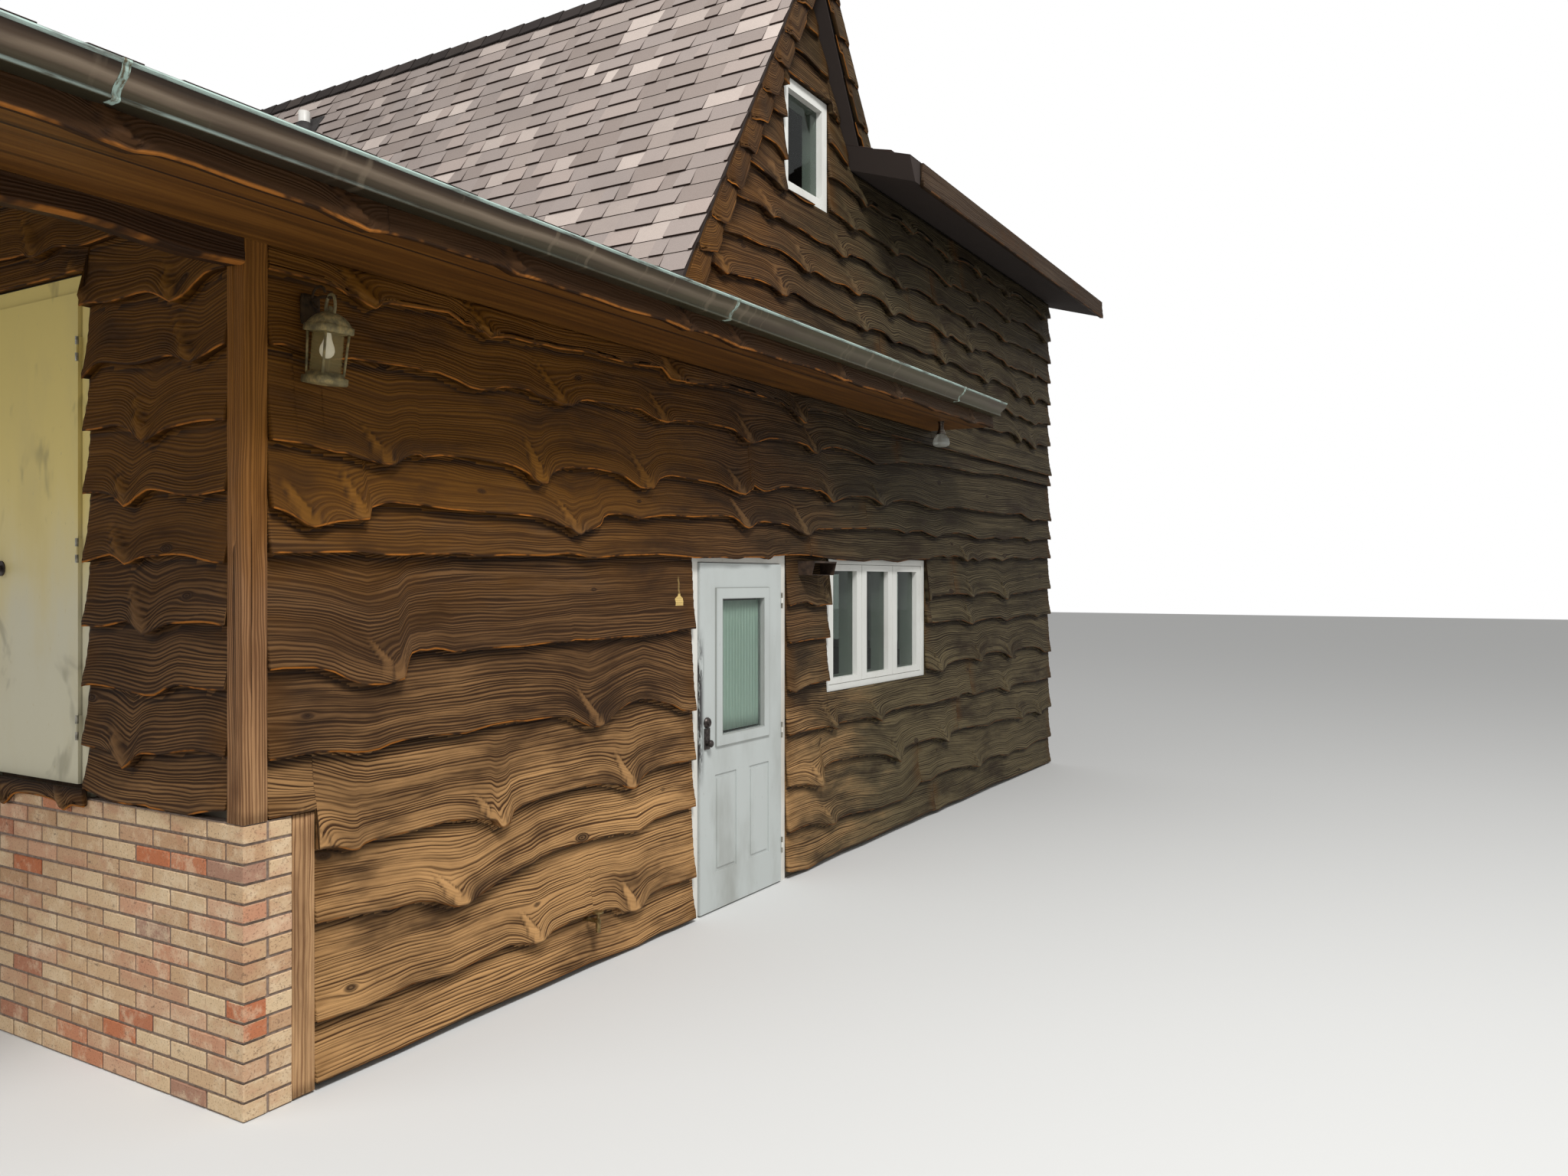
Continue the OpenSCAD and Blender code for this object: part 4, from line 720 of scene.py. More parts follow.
def rake_ends(side):
    """Outlines of the board ends on one slope: for every column x, the lowest point is the live edge or the
    line 0.29 m under the shingles, and the highest is the next course or the shingles."""
    found, levels = [], {}
    for n, off, up, triangles in starts_between("front", 3.2, 9):
        for x, bottom, top in board_runs(triangles, 0.04):
            end = 0 if side < 0 else -1
            rake = ridge_z - steep * abs(x[end] - ridge_x)
            height = bottom[end] * up[2] + off * n[2]
            if abs(rake - rake_deep - height) < 0.25 and (x[end] - ridge_x) * side > 0:
                levels[round(height, 1)] = height
    levels = sorted(levels.values())
    levels += [levels[-1] + 0.22 * k for k in range(1, 4) if levels[-1] + 0.22 * k < ridge_z - 0.05]
    for k, level in enumerate(levels):
        next_level = levels[k + 1] if k + 1 < len(levels) else level + 0.3
        x = np.sort(ridge_x + side * np.linspace(0.001, (ridge_z - level + 0.05) / steep, 60))
        rake = ridge_z - steep * np.abs(x - ridge_x)
        edge = level + 0.012 * np.sin(x * 19 + k * 2.3) - 0.006
        bottom = np.maximum(edge, rake - rake_deep - 0.002)
        top = np.minimum(next_level + 0.035, rake - 0.008)
        ok = top - bottom > 0.015
        if ok.sum() > 4:
            found.append((x[ok], bottom[ok], top[ok]))
    return found


ends = []
for side in (-1, 1):
    for k, (x, bottom, top) in enumerate(rake_ends(side)):
        h, d, uv, attributes = board(x, bottom, top, 0.03, 300 + k + 50 * (side > 0), 0.018)
        # Painted shadow: the strip near each end's top, under the next course, is darkened through under.
        attributes["under"] = np.clip(top.max() - 0.03 - h, 0, 0.2)
        lean = 0.012 * (h - bottom.min()) / 0.26
        place = np.stack([np.broadcast_to(x, h.shape), rake_face + d + lean, h], -1)
        ends.append(closed_board(place, uv, attributes))
points, faces, uv, attributes = join(ends)
front = (points, outward(points, faces), uv, attributes)
back = (points * [1, -1, 1], [f[:, ::-1] for f in front[1]], uv, attributes)
put("rake_board_ends", join([front, back]), boards_finish, smooth=True)

# %% [markdown]
# ## Board under the store door
# A short dark board with two lobes closes the gap between the store door's frame and the bricks. It stands
# in front of both, and its top stays 8 mm under the door, which swings out over it.

# %% Sill board
sill_low, sill_top, sill_face = 1.04, 1.105, -4.723
x = np.linspace(1.79, 2.65, 80)
lobes = 0.05 * np.exp(-((x - 2.03) / 0.06) ** 2) + 0.03 * np.exp(-((x - 2.5) / 0.04) ** 2)
edge = sill_low + 0.008 * np.sin(9 * x) - lobes
h, d, uv, attributes = board(x, edge, np.full(len(x), sill_top), 0.012, 77, 0.02, 0.012)
# Painted shadow: the strip near the board's top, under the store door, is darkened through under.
attributes["under"] = np.clip(sill_top - h, 0, 0.2)
place = np.stack([np.broadcast_to(x, h.shape), sill_face + d, h], -1)
points, faces, uv, attributes = closed_board(place, uv, attributes)
points = points @ walls["porch"]
put("sill_board", (points, outward(points, faces), uv, attributes), boards_finish, smooth=True)

# %% [markdown]
# ## Nail heads
# Every board is held by round-headed nails, 0.4 to 0.6 m apart, some of them in pairs. A copy of one nail
# could be placed thousands of times, but one mesh of low domes is lighter to carry and to export. Each dome
# is closed at the back, which lies inside the board.

# %% Nail heads
def domes(centres, out, right, radius, height, sides=6):
    """Low domes: a ring at the face, a smaller ring above it and a top point, for every centre at once."""
    angle = 2 * np.pi * np.arange(sides) / sides
    up = np.cross(out, right)
    ring = np.cos(angle)[None, :, None] * right[:, None, :] + np.sin(angle)[None, :, None] * up[:, None, :]
    low = centres[:, None] + ring * radius
    high = centres[:, None] + ring * radius * 0.6 + out[:, None] * height
    foot = centres[:, None] - out[:, None] * height * 2
    top = centres[:, None] + out[:, None] * height * 1.25
    points = np.concatenate([foot, low, high, top], 1)
    k, after = np.arange(sides), (np.arange(sides) + 1) % sides
    wall_of = np.stack([1 + k, 1 + after, 1 + sides + after, 1 + sides + k], -1)
    roof_of = np.stack([1 + sides + k, 1 + sides + after, np.full(sides, 1 + 2 * sides)], -1)
    floor_of = np.stack([1 + after, 1 + k, np.zeros(sides, int)], -1)
    faces = [repeated(f, len(centres), points.shape[1]) for f in (wall_of, roof_of, floor_of)]
    return points.reshape(-1, 3), faces


def nail_places(wall, seed):
    """Seeded places along each board, 55 to 85 mm over its live edge."""
    dice = np.random.default_rng(seed)
    centres, outs = [], []
    for n, off, up, triangles in courses[wall]:
        for x, bottom, top in board_runs(triangles, 0.05):
            if x[-1] - x[0] < 0.25:
                continue
            count = int((x[-1] - x[0]) / 0.5) + 2
            at = np.linspace(x[0] + 0.03, x[-1] - 0.03, count) + dice.uniform(-0.015, 0.015, count)
            at = np.concatenate([at, at[dice.random(count) < 0.4] + 0.028])
            h = np.interp(at, x, bottom) + dice.uniform(0.055, 0.085, len(at))
            good = h < np.interp(at, x, top) - 0.1
            place = at[:, None] * [1.0, 0, 0] + h[:, None] * up + off * n
            centres.append(place[good])
            outs.append(np.broadcast_to(n, place[good].shape))
    return np.concatenate(centres) @ walls[wall], np.concatenate(outs) @ walls[wall]


nail_steel = mottled("nail_steel", {"roughness": 0.32, "metallic": 0.9}, (3.0, 2),
                     (0.35, (88, 74, 62)), (0.7, (205, 200, 190)))
nails = []
for seed, wall in enumerate(walls):
    centres, outs = nail_places(wall, seed)
    right = np.broadcast_to(np.array([1.0, 0, 0]) @ walls[wall], centres.shape)
    nails.append(domes(centres, outs, right, 0.0042, 0.0012))
put("nail_heads", join(nails), nail_steel, smooth=True)

# %% [markdown]
# ## Shingles
# Laminated asphalt shingles show courses of about 140 mm. Thick and thin tabs of random width alternate, and
# their sides are cut on a slant, so the butt line is a row of short and long steps. Each tab is a wedge laid
# on the measured slope, thin at its head, where the next course covers it. The first course is a thin
# starter strip that ends flush with the eave.

# %% Shingles
exposure, tab_thick, tab_thin, tab_head = 0.14, 0.0155, 0.0065, 0.0012


def spans(triangles, level):
    """Stretches of a slope at one height up the plane, joined from the triangles that cross it."""
    lows, highs = crossings(triangles, [level], along=1)
    keep = np.isfinite(lows[0])
    joined = []
    for low, high in sorted(zip(lows[0][keep], highs[0][keep])):
        if joined and low < joined[-1][1] + 2e-3:
            joined[-1][1] = max(joined[-1][1], high)
        else:
            joined.append([low, high])
    return [s for s in joined if s[1] - s[0] > 0.03]


def shingle_slope(n, off, up, triangles, turn, seed):
    """Wedges for one slope: corners of all tabs (tabs, 8, 3), one tone for each, and places on the slope."""
    dice = np.random.default_rng(seed)
    low, high = triangles[..., 1].min(), triangles[..., 1].max()
    tabs, tones = [], []
    for course in range(int(np.ceil((high - low) / exposure))):
        foot = low + course * exposure
        head = min(foot + exposure + 0.01, high)
        below, above = spans(triangles, foot + 1e-3), spans(triangles, head - 1e-3)
        if len(below) != len(above):
            below = above = below if len(below) < len(above) else above
        for (a0, a1), (b0, b1) in zip(below, above):
            widths = dice.uniform(0.09, 0.31, int((max(a1, b1) - min(a0, b0)) / 0.09) + 2)
            cut = min(a0, b0) - dice.uniform(0, 0.2) + np.cumsum(widths)
            slant = dice.uniform(-0.012, 0.012, len(cut))
            foot_x = np.clip(np.concatenate([[a0], cut, [a1]]), a0, a1)
            head_x = np.clip(np.concatenate([[b0], cut + slant, [b1]]), b0, b1)
            thick = np.where(np.arange(len(foot_x) - 1) % 2 == dice.integers(2), tab_thick, tab_thin)
            thick = (thick + dice.uniform(-0.0006, 0.0006, len(thick))) * (1 if course else 0.4)
            step_down = dice.uniform(-0.004, 0.004, len(thick)) * (course > 0)
            left, right = slice(0, -1), slice(1, None)
            ok = (foot_x[right] - foot_x[left] > 2e-3) & (head_x[right] - head_x[left] > 2e-3)
            same = np.ones(ok.sum())
            for_x = [foot_x[left][ok], foot_x[right][ok], head_x[right][ok], head_x[left][ok]]
            for_h = [foot + step_down[ok]] * 2 + [same * head] * 2
            for_d = [same * -0.001] * 4 + [thick[ok]] * 2 + [same * tab_head] * 2
            tabs.append(np.stack([np.stack(corner, -1) for corner in zip(for_x * 2, for_h * 2, for_d)], 1))
            tones.append(dice.uniform(0, 1, ok.sum()) * 0.7 + 0.3 * (thick[ok] < 0.01))
    tabs, tones = np.concatenate(tabs), np.concatenate(tones)
    place = tabs[..., :1] * [1.0, 0, 0] + tabs[..., 1:2] * up + (off + tabs[..., 2:]) * n
    return place @ turn, tones, tabs[..., :2]


box_faces = np.array([[3, 2, 1, 0], [4, 5, 6, 7], [0, 1, 5, 4], [1, 2, 6, 5], [2, 3, 7, 6], [3, 0, 4, 7]])


def shingle_roof(name, node, turn, seed):
    """Shingles every slope of a roof solid that faces one way and up."""
    slopes = [shingle_slope(*plane, turn, seed + k)
              for k, plane in enumerate(flat_faces(node, turn, 0.02, facing=-0.1)) if plane[0][2] > 0.3]
    place, tone, flat = (np.concatenate(found) for found in zip(*slopes))
    points, faces = place.reshape(-1, 3), [repeated(box_faces, len(place), 8)]
    attributes = {"tone": np.repeat(tone, 8), "lift": np.tile([0, 0, 0, 0, 1, 1, 1, 1], len(place))}
    put(name, (points, outward(points, faces), flat.reshape(-1, 2), attributes), shingle_finish)


print("tabs stand", tab_thin, "or", tab_thick, "m over the slope")

# %% [markdown]
# ## Granules
# A shingle is coated with crushed stone, so its colour is made of specks, and every tab comes from another
# batch. An image of granules would blur close up and repeat from afar. Here a tab's own number picks its
# tone, and noises lay fading and specks over it.

# %% Shingled roofs
def granules(name, shades, faded, butt=None):
    """Mineral granules: a tone for each tab, cloudy fading, and speckles. A tab's cut end is darkened as
    painted shade: there the attribute lift falls from 1 at the top face to 0 at the underside."""
    material = finish(name, 0.93, gloss=0.2)
    place = own_place()
    speck = noise(place, 420.0, 1, 0.5)
    shade = coats(
        ramp(attribute("tone"), *zip((0.0, 0.35, 0.7, 1.0), shades)),
        (step(noise(place, 1.3, 4), 0.45, 0.75) * 0.4, faded),
        (step(speck, 0.45, 0.7) * 0.3, (60, 54, 52)),
    )
    if butt:
        # painted shade on the tabs' cut ends and undersides
        shade = mix(step(attribute("lift"), 0.97, 0.85), shade, butt)
    feed("Base Color", shade)
    bump(speck, 0.5, 0.0015)
    return material


shingle_finish = granules(
    "shingle_granules", ((164, 150, 142), (150, 139, 133), (138, 126, 119), (190, 177, 168)),
    # butt is the painted shade of the tabs' cut ends
    faded=(132, 124, 120), butt=(44, 33, 29))
edge_finish = granules("roof_edge", ((60, 52, 48), (56, 48, 44), (52, 45, 42), (64, 56, 52)),
                       faded=(44, 38, 36))
roofs = {"low": ("low_roof_front", "low_roof_back"), "steep": ("steep_roof_left", "steep_roof_right"),
         "lake": ("lake_roof_front", "lake_roof_back"), "pent": ("pent_roofs", "pent_roofs")}
paint(sorted({node for pair in roofs.values() for node in pair}), edge_finish)
for roof, pair in roofs.items():
    sides = ("left", "right") if roof == "steep" else ("front", "back")
    for side, node in zip(sides, pair):
        name = f"shingles_{roof}_{side}"
        wall = {"left": "porch", "right": "lake"}.get(side, side)
        shingle_roof(name, node, walls[wall], len(name) * 7)

# %% [markdown]
# ## Bricks
# The base under the porch wall is laid in running bond: bricks of 215 x 60 mm with 10 mm joints, tan and
# buff with a few orange ones. The wall's own surface becomes the mortar, 6 mm back, and each brick is a block
# with worn arrises, so the joints are real grooves.

# %% Bricks
brick_l, brick_h, joint = 0.215, 0.0605, 0.0105
base_low, base_high = (np.array(corner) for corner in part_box("brick_base"))
rows = int(round((base_high[2] - base_low[2]) / (brick_h + joint)))
rise = (base_high[2] - base_low[2]) / rows


def brick_blocks(low, high, seed):
    """Blocks between low and high corners (bricks, 3). The outer face is the low x side, and its corners
    step in by 2 to 4.5 mm."""
    dice = np.random.default_rng(seed)
    w = dice.uniform(0.002, 0.0045, len(low))
    proud = dice.uniform(0, 0.0012, len(low))
    x0, y0, z0 = (low + proud[:, None] * [1, 1, 0]).T
    x1, y1, z1 = high.T
    inner = [(x1, y0, z0), (x1, y1, z0), (x1, y1, z1), (x1, y0, z1)]
    ring = [(x0 + w, y0, z0), (x0 + w, y1, z0), (x0 + w, y1, z1), (x0 + w, y0, z1)]
    face = [(x0, y0 + w, z0 + w), (x0, y1 - w, z0 + w), (x0, y1 - w, z1 - w), (x0, y0 + w, z1 - w)]
    return np.stack([np.stack(p, -1) for p in inner + ring + face], 1)


def long_face():
    """Bricks along the long face. Every other row starts with half a brick."""
    found = []
    for row in range(rows):
        z0 = base_low[2] + row * rise + joint * 0.5
        offset = (brick_l + joint) / 2 if row % 2 else 0.0
        y = np.arange(base_low[1] - offset, base_high[1], brick_l + joint)
        y0, y1 = np.maximum(y, base_low[1]), np.minimum(y + brick_l, base_high[1])
        ok = y1 - y0 > 0.03
        same = np.ones(ok.sum())
        found.append(np.stack([same * base_low[0], y0[ok], same * z0,
                               same * (base_low[0] + 0.09), y1[ok], same * (z0 + rise - joint)], -1))
    found = np.concatenate(found)
    return brick_blocks(found[:, :3], found[:, 3:], 5)


def short_ends():
    """Bricks round the two short ends, and the end's side: 1 at the front, -1 at the back. They are drawn
    like the long face, and then x and y change places."""
    found = []
    for row in range(rows):
        z0 = base_low[2] + row * rise + joint * 0.5
        for side, y_out in ((1, base_low[1]), (-1, base_high[1])):
            for a, b in [(0.0012, 0.2)] if row % 2 else [(0.0012, 0.095), (0.1055, 0.2)]:
                found.append([y_out, side, 0, base_low[0] + a, z0, 0.085, base_low[0] + b, z0 + rise - joint])
    found = np.array(found)
    y_out, side = found[:, 0, None], found[:, 1, None]
    blocks = brick_blocks(found[:, 2:5], found[:, 5:], 6)
    return np.stack([blocks[..., 1], y_out + side * blocks[..., 0], blocks[..., 2]], -1), side[:, 0]


block_faces = [[0, 1, 2, 3], [8, 11, 10, 9]]
for ring in (0, 4):
    block_faces += [[ring + k, ring + 4 + k, ring + 4 + (k + 1) % 4, ring + (k + 1) % 4] for k in range(4)]
block_faces = np.array(block_faces)
long_blocks = long_face()
end_blocks, end_side = short_ends()
blocks = np.concatenate([long_blocks, end_blocks])
flip = np.repeat(np.concatenate([np.ones(len(long_blocks)), -end_side]), len(block_faces))
faces = repeated(block_faces, len(blocks), 12)
faces = np.where(flip[:, None] > 0, faces, faces[:, ::-1])
tone = np.repeat(np.random.default_rng(8).uniform(0, 1, len(blocks)), 12)

print("bricks", len(blocks), "in", rows, "rows")

# %% [markdown]
# ## Brick and mortar
# Fired clay differs from brick to brick, by its place in the kiln, and within a brick by sand, blushes and
# pits. So each block carries one number for its tone, and four noises of different size are laid over it.
# The mortar is sandy and plain.

# %% Brick and mortar
brick_finish = finish("fired_brick", 0.9, gloss=0.25)
place = own_place()
pit = noise(place, 130.0, 3, 0.6)
feed("Base Color", coats(
    ramp(attribute("tone"), (0.0, (188, 154, 118)), (0.3, (206, 180, 144)), (0.6, (178, 142, 108)),
         (0.8, (196, 158, 128)), (0.9, (178, 106, 70)), (1.0, (158, 124, 104))),
    (step(noise(place, 9.0, 5, 0.7), 0.46, 0.66) * 0.5, (220, 200, 168)),
    (step(noise(place, (5, 5, 9), 4, 0.65), 0.5, 0.68) * 0.35, (176, 118, 92)),
    (step(pit, 0.54, 0.7) * 0.55, (92, 62, 48)),
    (step(noise(place, (16, 16, 30), 5, 0.75), 0.6, 0.7) * 0.6, (70, 56, 48)),
))
bump(pit, 0.5, 0.003)
put("bricks", (blocks.reshape(-1, 3), [faces], None, {"tone": tone}), brick_finish)

mortar = mottled("mortar", {"roughness": 0.95}, (60.0, 4), (0.3, (104, 88, 78)), (0.7, (140, 122, 108)),
                 dents=(0.4, 0.003))


def block(low, high):
    """A plain block between two corners."""
    x, y, z = zip(low, high)
    corner = [(x[i], y[j], z[k]) for k in (0, 1) for i, j in ((0, 0), (1, 0), (1, 1), (0, 1))]
    return np.array(corner, float), [box_faces]


mortar_back = np.array([0.006, 0.006, 0.0])
put("mortar_core", block(base_low + mortar_back, base_high - mortar_back * [0, 1, 0]), mortar,
    stands_for="brick_base")

# %% [markdown]
# ## Fascias and porch beams
# The fascias and the porch beams were left live-edged too, so they are drawn with the same boards, 25 and
# 90 mm thick. Their undersides have kept the golden colour of wood that never sees the sun.

# %% Live-edge trim
trim_finish = board_wood(
    "live_edge_trim",
    gold=((50, 31, 16), (72, 46, 23), (158, 98, 38)),
    brown=((44, 28, 17), (72, 49, 28), (76, 50, 24)),
    tan=((44, 28, 17), (72, 49, 28)),
    weathered=((52, 40, 30), (86, 70, 54)),
    reach=0.013, ragged=0.4,
)
for name, node, thick, spacing in (
    ("fascia_boards", "fascias", 0.025, 0.02), ("porch_beam_logs", "porch_beams", 0.09, 0.03),
):
    both = []
    for wall in ("front", "back"):
        outer = [c for c in flat_faces(node, walls[wall], 0.003) if c[1] > 0 and abs(c[0][1]) > 0.99]
        both.append(board_mesh(outer, walls[wall], spacing, 0.014, thick, least=0.007))
    put(name, join(both), trim_finish, smooth=True, stands_for=node)

# %% [markdown]
# ## Posts
# The posts are rough-sawn and have dried out in the sun: arrises rubbed round, faces a little wavy, and long
# checks that open and close along the grain. One loop round the section is carried up the post, with three
# close points at each check, so that the groove is cut into the surface.

# %% Posts
def post(low, high, seed, axis=2):
    """A sawn post between two corners. Round the loop, depth = wave + check, where
    wave = 0.6 mm * (1 + sin) and check = up to 6 mm deep and 6 mm wide, opened by a slow sine along it."""
    dice = np.random.default_rng(seed)
    low, high = np.array(low, float), np.array(high, float)
    across = [k for k in range(3) if k != axis]
    half, centre = (high - low)[across] / 2, (high + low)[across] / 2
    loop, normal, checked = [], [], []
    for n in np.array([[1.0, 0], [0, 1], [-1, 0], [0, -1]]):
        t = np.array([-n[1], n[0]])
        wide, deep = half @ np.abs(t), half @ np.abs(n)
        crack = dice.uniform(-0.5, 0.5) * wide
        even = np.linspace(-wide + 0.006, wide - 0.006, 6)
        places = np.concatenate([even[np.abs(even - crack) > 0.008], crack + np.array([-0.003, 0, 0.003])])
        places.sort()
        loop += [n * deep + t * at for at in places] + [n * (deep - 0.0018) + t * (wide - 0.0018)]
        normal += [n] * len(places) + [(n + t) / math.sqrt(2)]
        checked += [float(abs(at - crack) < 1e-6) for at in places] + [0.0]
    loop, normal, checked = np.array(loop), np.array(normal), np.array(checked)
    length = high[axis] - low[axis]
    up = np.linspace(0, length, max(8, int(length / 0.05)))
    wave = 0.0006 * (1 + np.sin(up[:, None] * 2.1 + np.arange(len(loop)) * 0.7 + seed))
    opened = np.clip(np.sin(up * dice.uniform(1.4, 2.4) + dice.uniform(0, 6)), 0, 1)
    depth = wave + 0.006 * opened[:, None] * checked[None, :]
    sway = 0.004 * np.sin(up * 1.9 + seed)[:, None, None] * np.stack([-normal[:, 1], normal[:, 0]], -1)[None]
    rings = np.empty((len(up), len(loop), 3))
    rings[..., across] = centre + loop[None] - depth[..., None] * normal[None] + sway * checked[None, :, None]
    rings[..., axis] = low[axis] + up[:, None]
    round_it = np.concatenate([[0], np.cumsum(np.linalg.norm(np.diff(loop, axis=0), axis=1))])
    uv = np.stack([np.broadcast_to(up[:, None], wave.shape) + dice.uniform(0, 30),
                   np.broadcast_to(round_it, wave.shape) + dice.uniform(0, 30)], -1)
    points, faces = tube(rings)
    full = np.ones(len(points))
    attributes = {"tone": full * dice.uniform(0, 1), "edge": full, "stub": full * 0, "crease": full * 0,
                  "ends": full, "under": full}
    return points, faces, uv.reshape(-1, 2), attributes


def posts(name, node, boxes):
    """Several posts as one piece that stands for a CAD node; a box is (low corner, high corner, axis)."""
    made = [post(low, high, seed + len(name), axis) for seed, (low, high, axis) in enumerate(boxes)]
    put(name, join(made), post_finish, smooth=True, stands_for=node)


post_finish = board_wood(
    "sawn_posts",
    gold=((110, 70, 25), (156, 104, 44), (170, 120, 60)),
    brown=((104, 72, 46), (152, 112, 76), (82, 52, 32)),
    # tan: the lighter shades low down, partly bleaching and partly painted sunlight
    tan=((140, 102, 70), (200, 160, 116)),
    weathered=((96, 72, 52), (150, 122, 94)),
)
corner_x, wall_y, on_bricks, post_w = -4.7, 3.65, 1.065, 0.1
low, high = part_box("corner_posts")
corner_boxes = []
for front in (-1, 1):
    for x, deep, z0, z1 in (
        (corner_x, post_w, on_bricks, high[2]), (corner_x + 0.2, 0.05, low[2], on_bricks),
    ):
        y0, y1 = sorted((front * wall_y, front * (wall_y - deep)))
        corner_boxes.append(((x, y0, z0), (x + post_w, y1, z1), 2))
posts("corner_post_timbers", "corner_posts", corner_boxes)
porch_x, under_beam, under_ridge = -7.9, 3.07, 3.98
porch_tops = {-wall_y: under_beam, wall_y - post_w: under_beam, -post_w / 2: under_ridge}
porch_boxes = [((porch_x, y, 0), (porch_x + post_w, y + post_w, top), 2) for y, top in porch_tops.items()]
posts("porch_post_timbers", "porch_posts", porch_boxes)
posts("ridge_beam_timber", "ridge_beam", [(*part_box("ridge_beam"), 0)])

# %% [markdown]
# ## Soffit
# The soffit is smooth board, oiled golden brown, seen from below. Its grain is worked out from the object's
# own coordinates: x runs along the boards and y across them.

# %% Soffit boards
def plain_wood(name, shades, width):
    """Planed boards that run along x: one shade for each board, soft grain and thin dark joints."""
    material = finish(name, 0.5, gloss=0.25)
    x, y, _ = parts_of(own_place())
    across = y + 20.0
    row = across / width
    flow = add("CombineXYZ", {0: x, 1: across, 2: calc("FLOOR", row) * 3.7})
    figure = noise(flow, (0.9, 26.0, 1), 4, 0.6, 0.6)
    feed("Base Color", coats(
        ramp(figure, *zip((0.3, 0.5, 0.72), shades)),
        (step(noise(flow, (0.5, 1.5, 1), 2), 0.5, 0.72) * 0.4, shades[0]),
        (step(calc("PINGPONG", row, 0.5), 0.02, 0.006), (38, 24, 15)),
    ))
    bump(figure, 0.15, 0.002)
    return material


soffit_wood = plain_wood("soffit_boards", ((66, 41, 13), (94, 58, 20), (120, 79, 30)), 0.57)
paint(["soffits"], soffit_wood)
print("soffit", len(soffit_wood.node_tree.nodes), "nodes")

# %% [markdown]
# ## Brown copper
# The gutters are copper sheet bent into an ogee, gone brown. Rain has turned the rolled lip and the bead at
# the bottom edge pale turquoise. On the ogee a pale band is a painted reflection, and the hollow under the
# lip is darkened as painted shade. The colour could go by the height, but it follows the bends of the sheet,
# so it goes by the attribute sheet, which runs from 0 at the back edge to 1 at the lip. The straps are
# crusted with verdigris.

# %% Brown copper
copper = finish("brown_copper", metallic=0.5)
place, sheet = own_place(), attribute("sheet")
along_eave = parts_of(place)[0]
wobble = (noise(place, (2.2, 0.1, 0.1), 2) - 0.5) * 0.13
streak = noise(place, (1.3, 9, 9), 4, 0.6)
bead = step(sheet, 0.37, 0.39) * step(sheet, 0.44, 0.42)
washed = step(along_eave, -4.2, -5.4)
lip = calc("MAXIMUM", step(sheet, 0.84, 0.87), bead * (washed * 0.55 + 0.08))
green = lip * step(noise(place, (5, 30, 30), 4, 0.65), 0.24, 0.56)
feed("Base Color", coats(
    # Along the sheet: the pale stops in the ogee are a painted reflection, the dark stops under the lip
    # painted shade.
    ramp(sheet + wobble, (0.0, (64, 58, 44)), (0.36, (66, 62, 46)), (0.53, (76, 66, 48)),
         (0.57, (118, 103, 86)), (0.66, (146, 130, 111)), (0.72, (88, 72, 56)), (0.79, (52, 41, 31))),
    (step(along_eave, -4.5, -1.0) * 0.8, (82, 76, 52)),
    (step(streak, 0.42, 0.66) * 0.5, (72, 54, 42)),
    (step(noise(place, (22, 1, 2), 2, 0.5), 0.62, 0.74) * 0.3, (150, 134, 112)),
    (green * 0.9, (186, 206, 198)),
))
feed("Roughness", add("MapRange", {"Value": green, "To Min": 0.38, "To Max": 0.8}))
bump(streak, 0.3, 0.01)

verdigris = finish("verdigris", 0.8, gloss=0.3)
crust = noise(own_place(), (120, 40, 26), 4, 0.6)
feed("Base Color", ramp(crust, (0.36, (94, 84, 64)), (0.56, (164, 186, 176))))

print("copper", len(copper.node_tree.nodes), "nodes")

# %% [markdown]
# ## Gutters
# The section is drawn once as a thin bent sheet and carried along the eave. A bevelled curve could do the
# same, but this way every bend knows its place on the sheet. Flat plates close the ends, and a narrow strap
# covers the joint between two lengths, every three metres.

# %% Gutters
gutter_back, lip_h, end_plate = 4.18, 0.0995, 0.0015
gutter_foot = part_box("gutters")[0][2]
u = np.linspace(0, 1, 14)
sheet_path = np.concatenate([
    [(0.0, 0.116), (0.0, 0.06), (0.0, 0.0), (0.03, 0.0), (0.062, 0.0), (0.068, 0.001), (0.0715, 0.004),
     (0.072, 0.008), (0.07, 0.012)],
    np.stack([0.069 + 0.051 * (u - 0.11 * np.sin(2 * np.pi * u)), 0.014 + 0.066 * u], -1),
    [(0.1205, 0.086), (0.1258, 0.0885), (0.1285, 0.093), (0.1275, 0.098), (0.122, lip_h), (0.114, lip_h)],
])
sheet_along = np.concatenate([[0], np.cumsum(np.linalg.norm(np.diff(sheet_path, axis=0), axis=1))])
sheet_along = np.interp(sheet_along, sheet_along[[0, 2, 8, 22, 24, -1]], [0, 0.1, 0.42, 0.8, 0.9, 1.0])


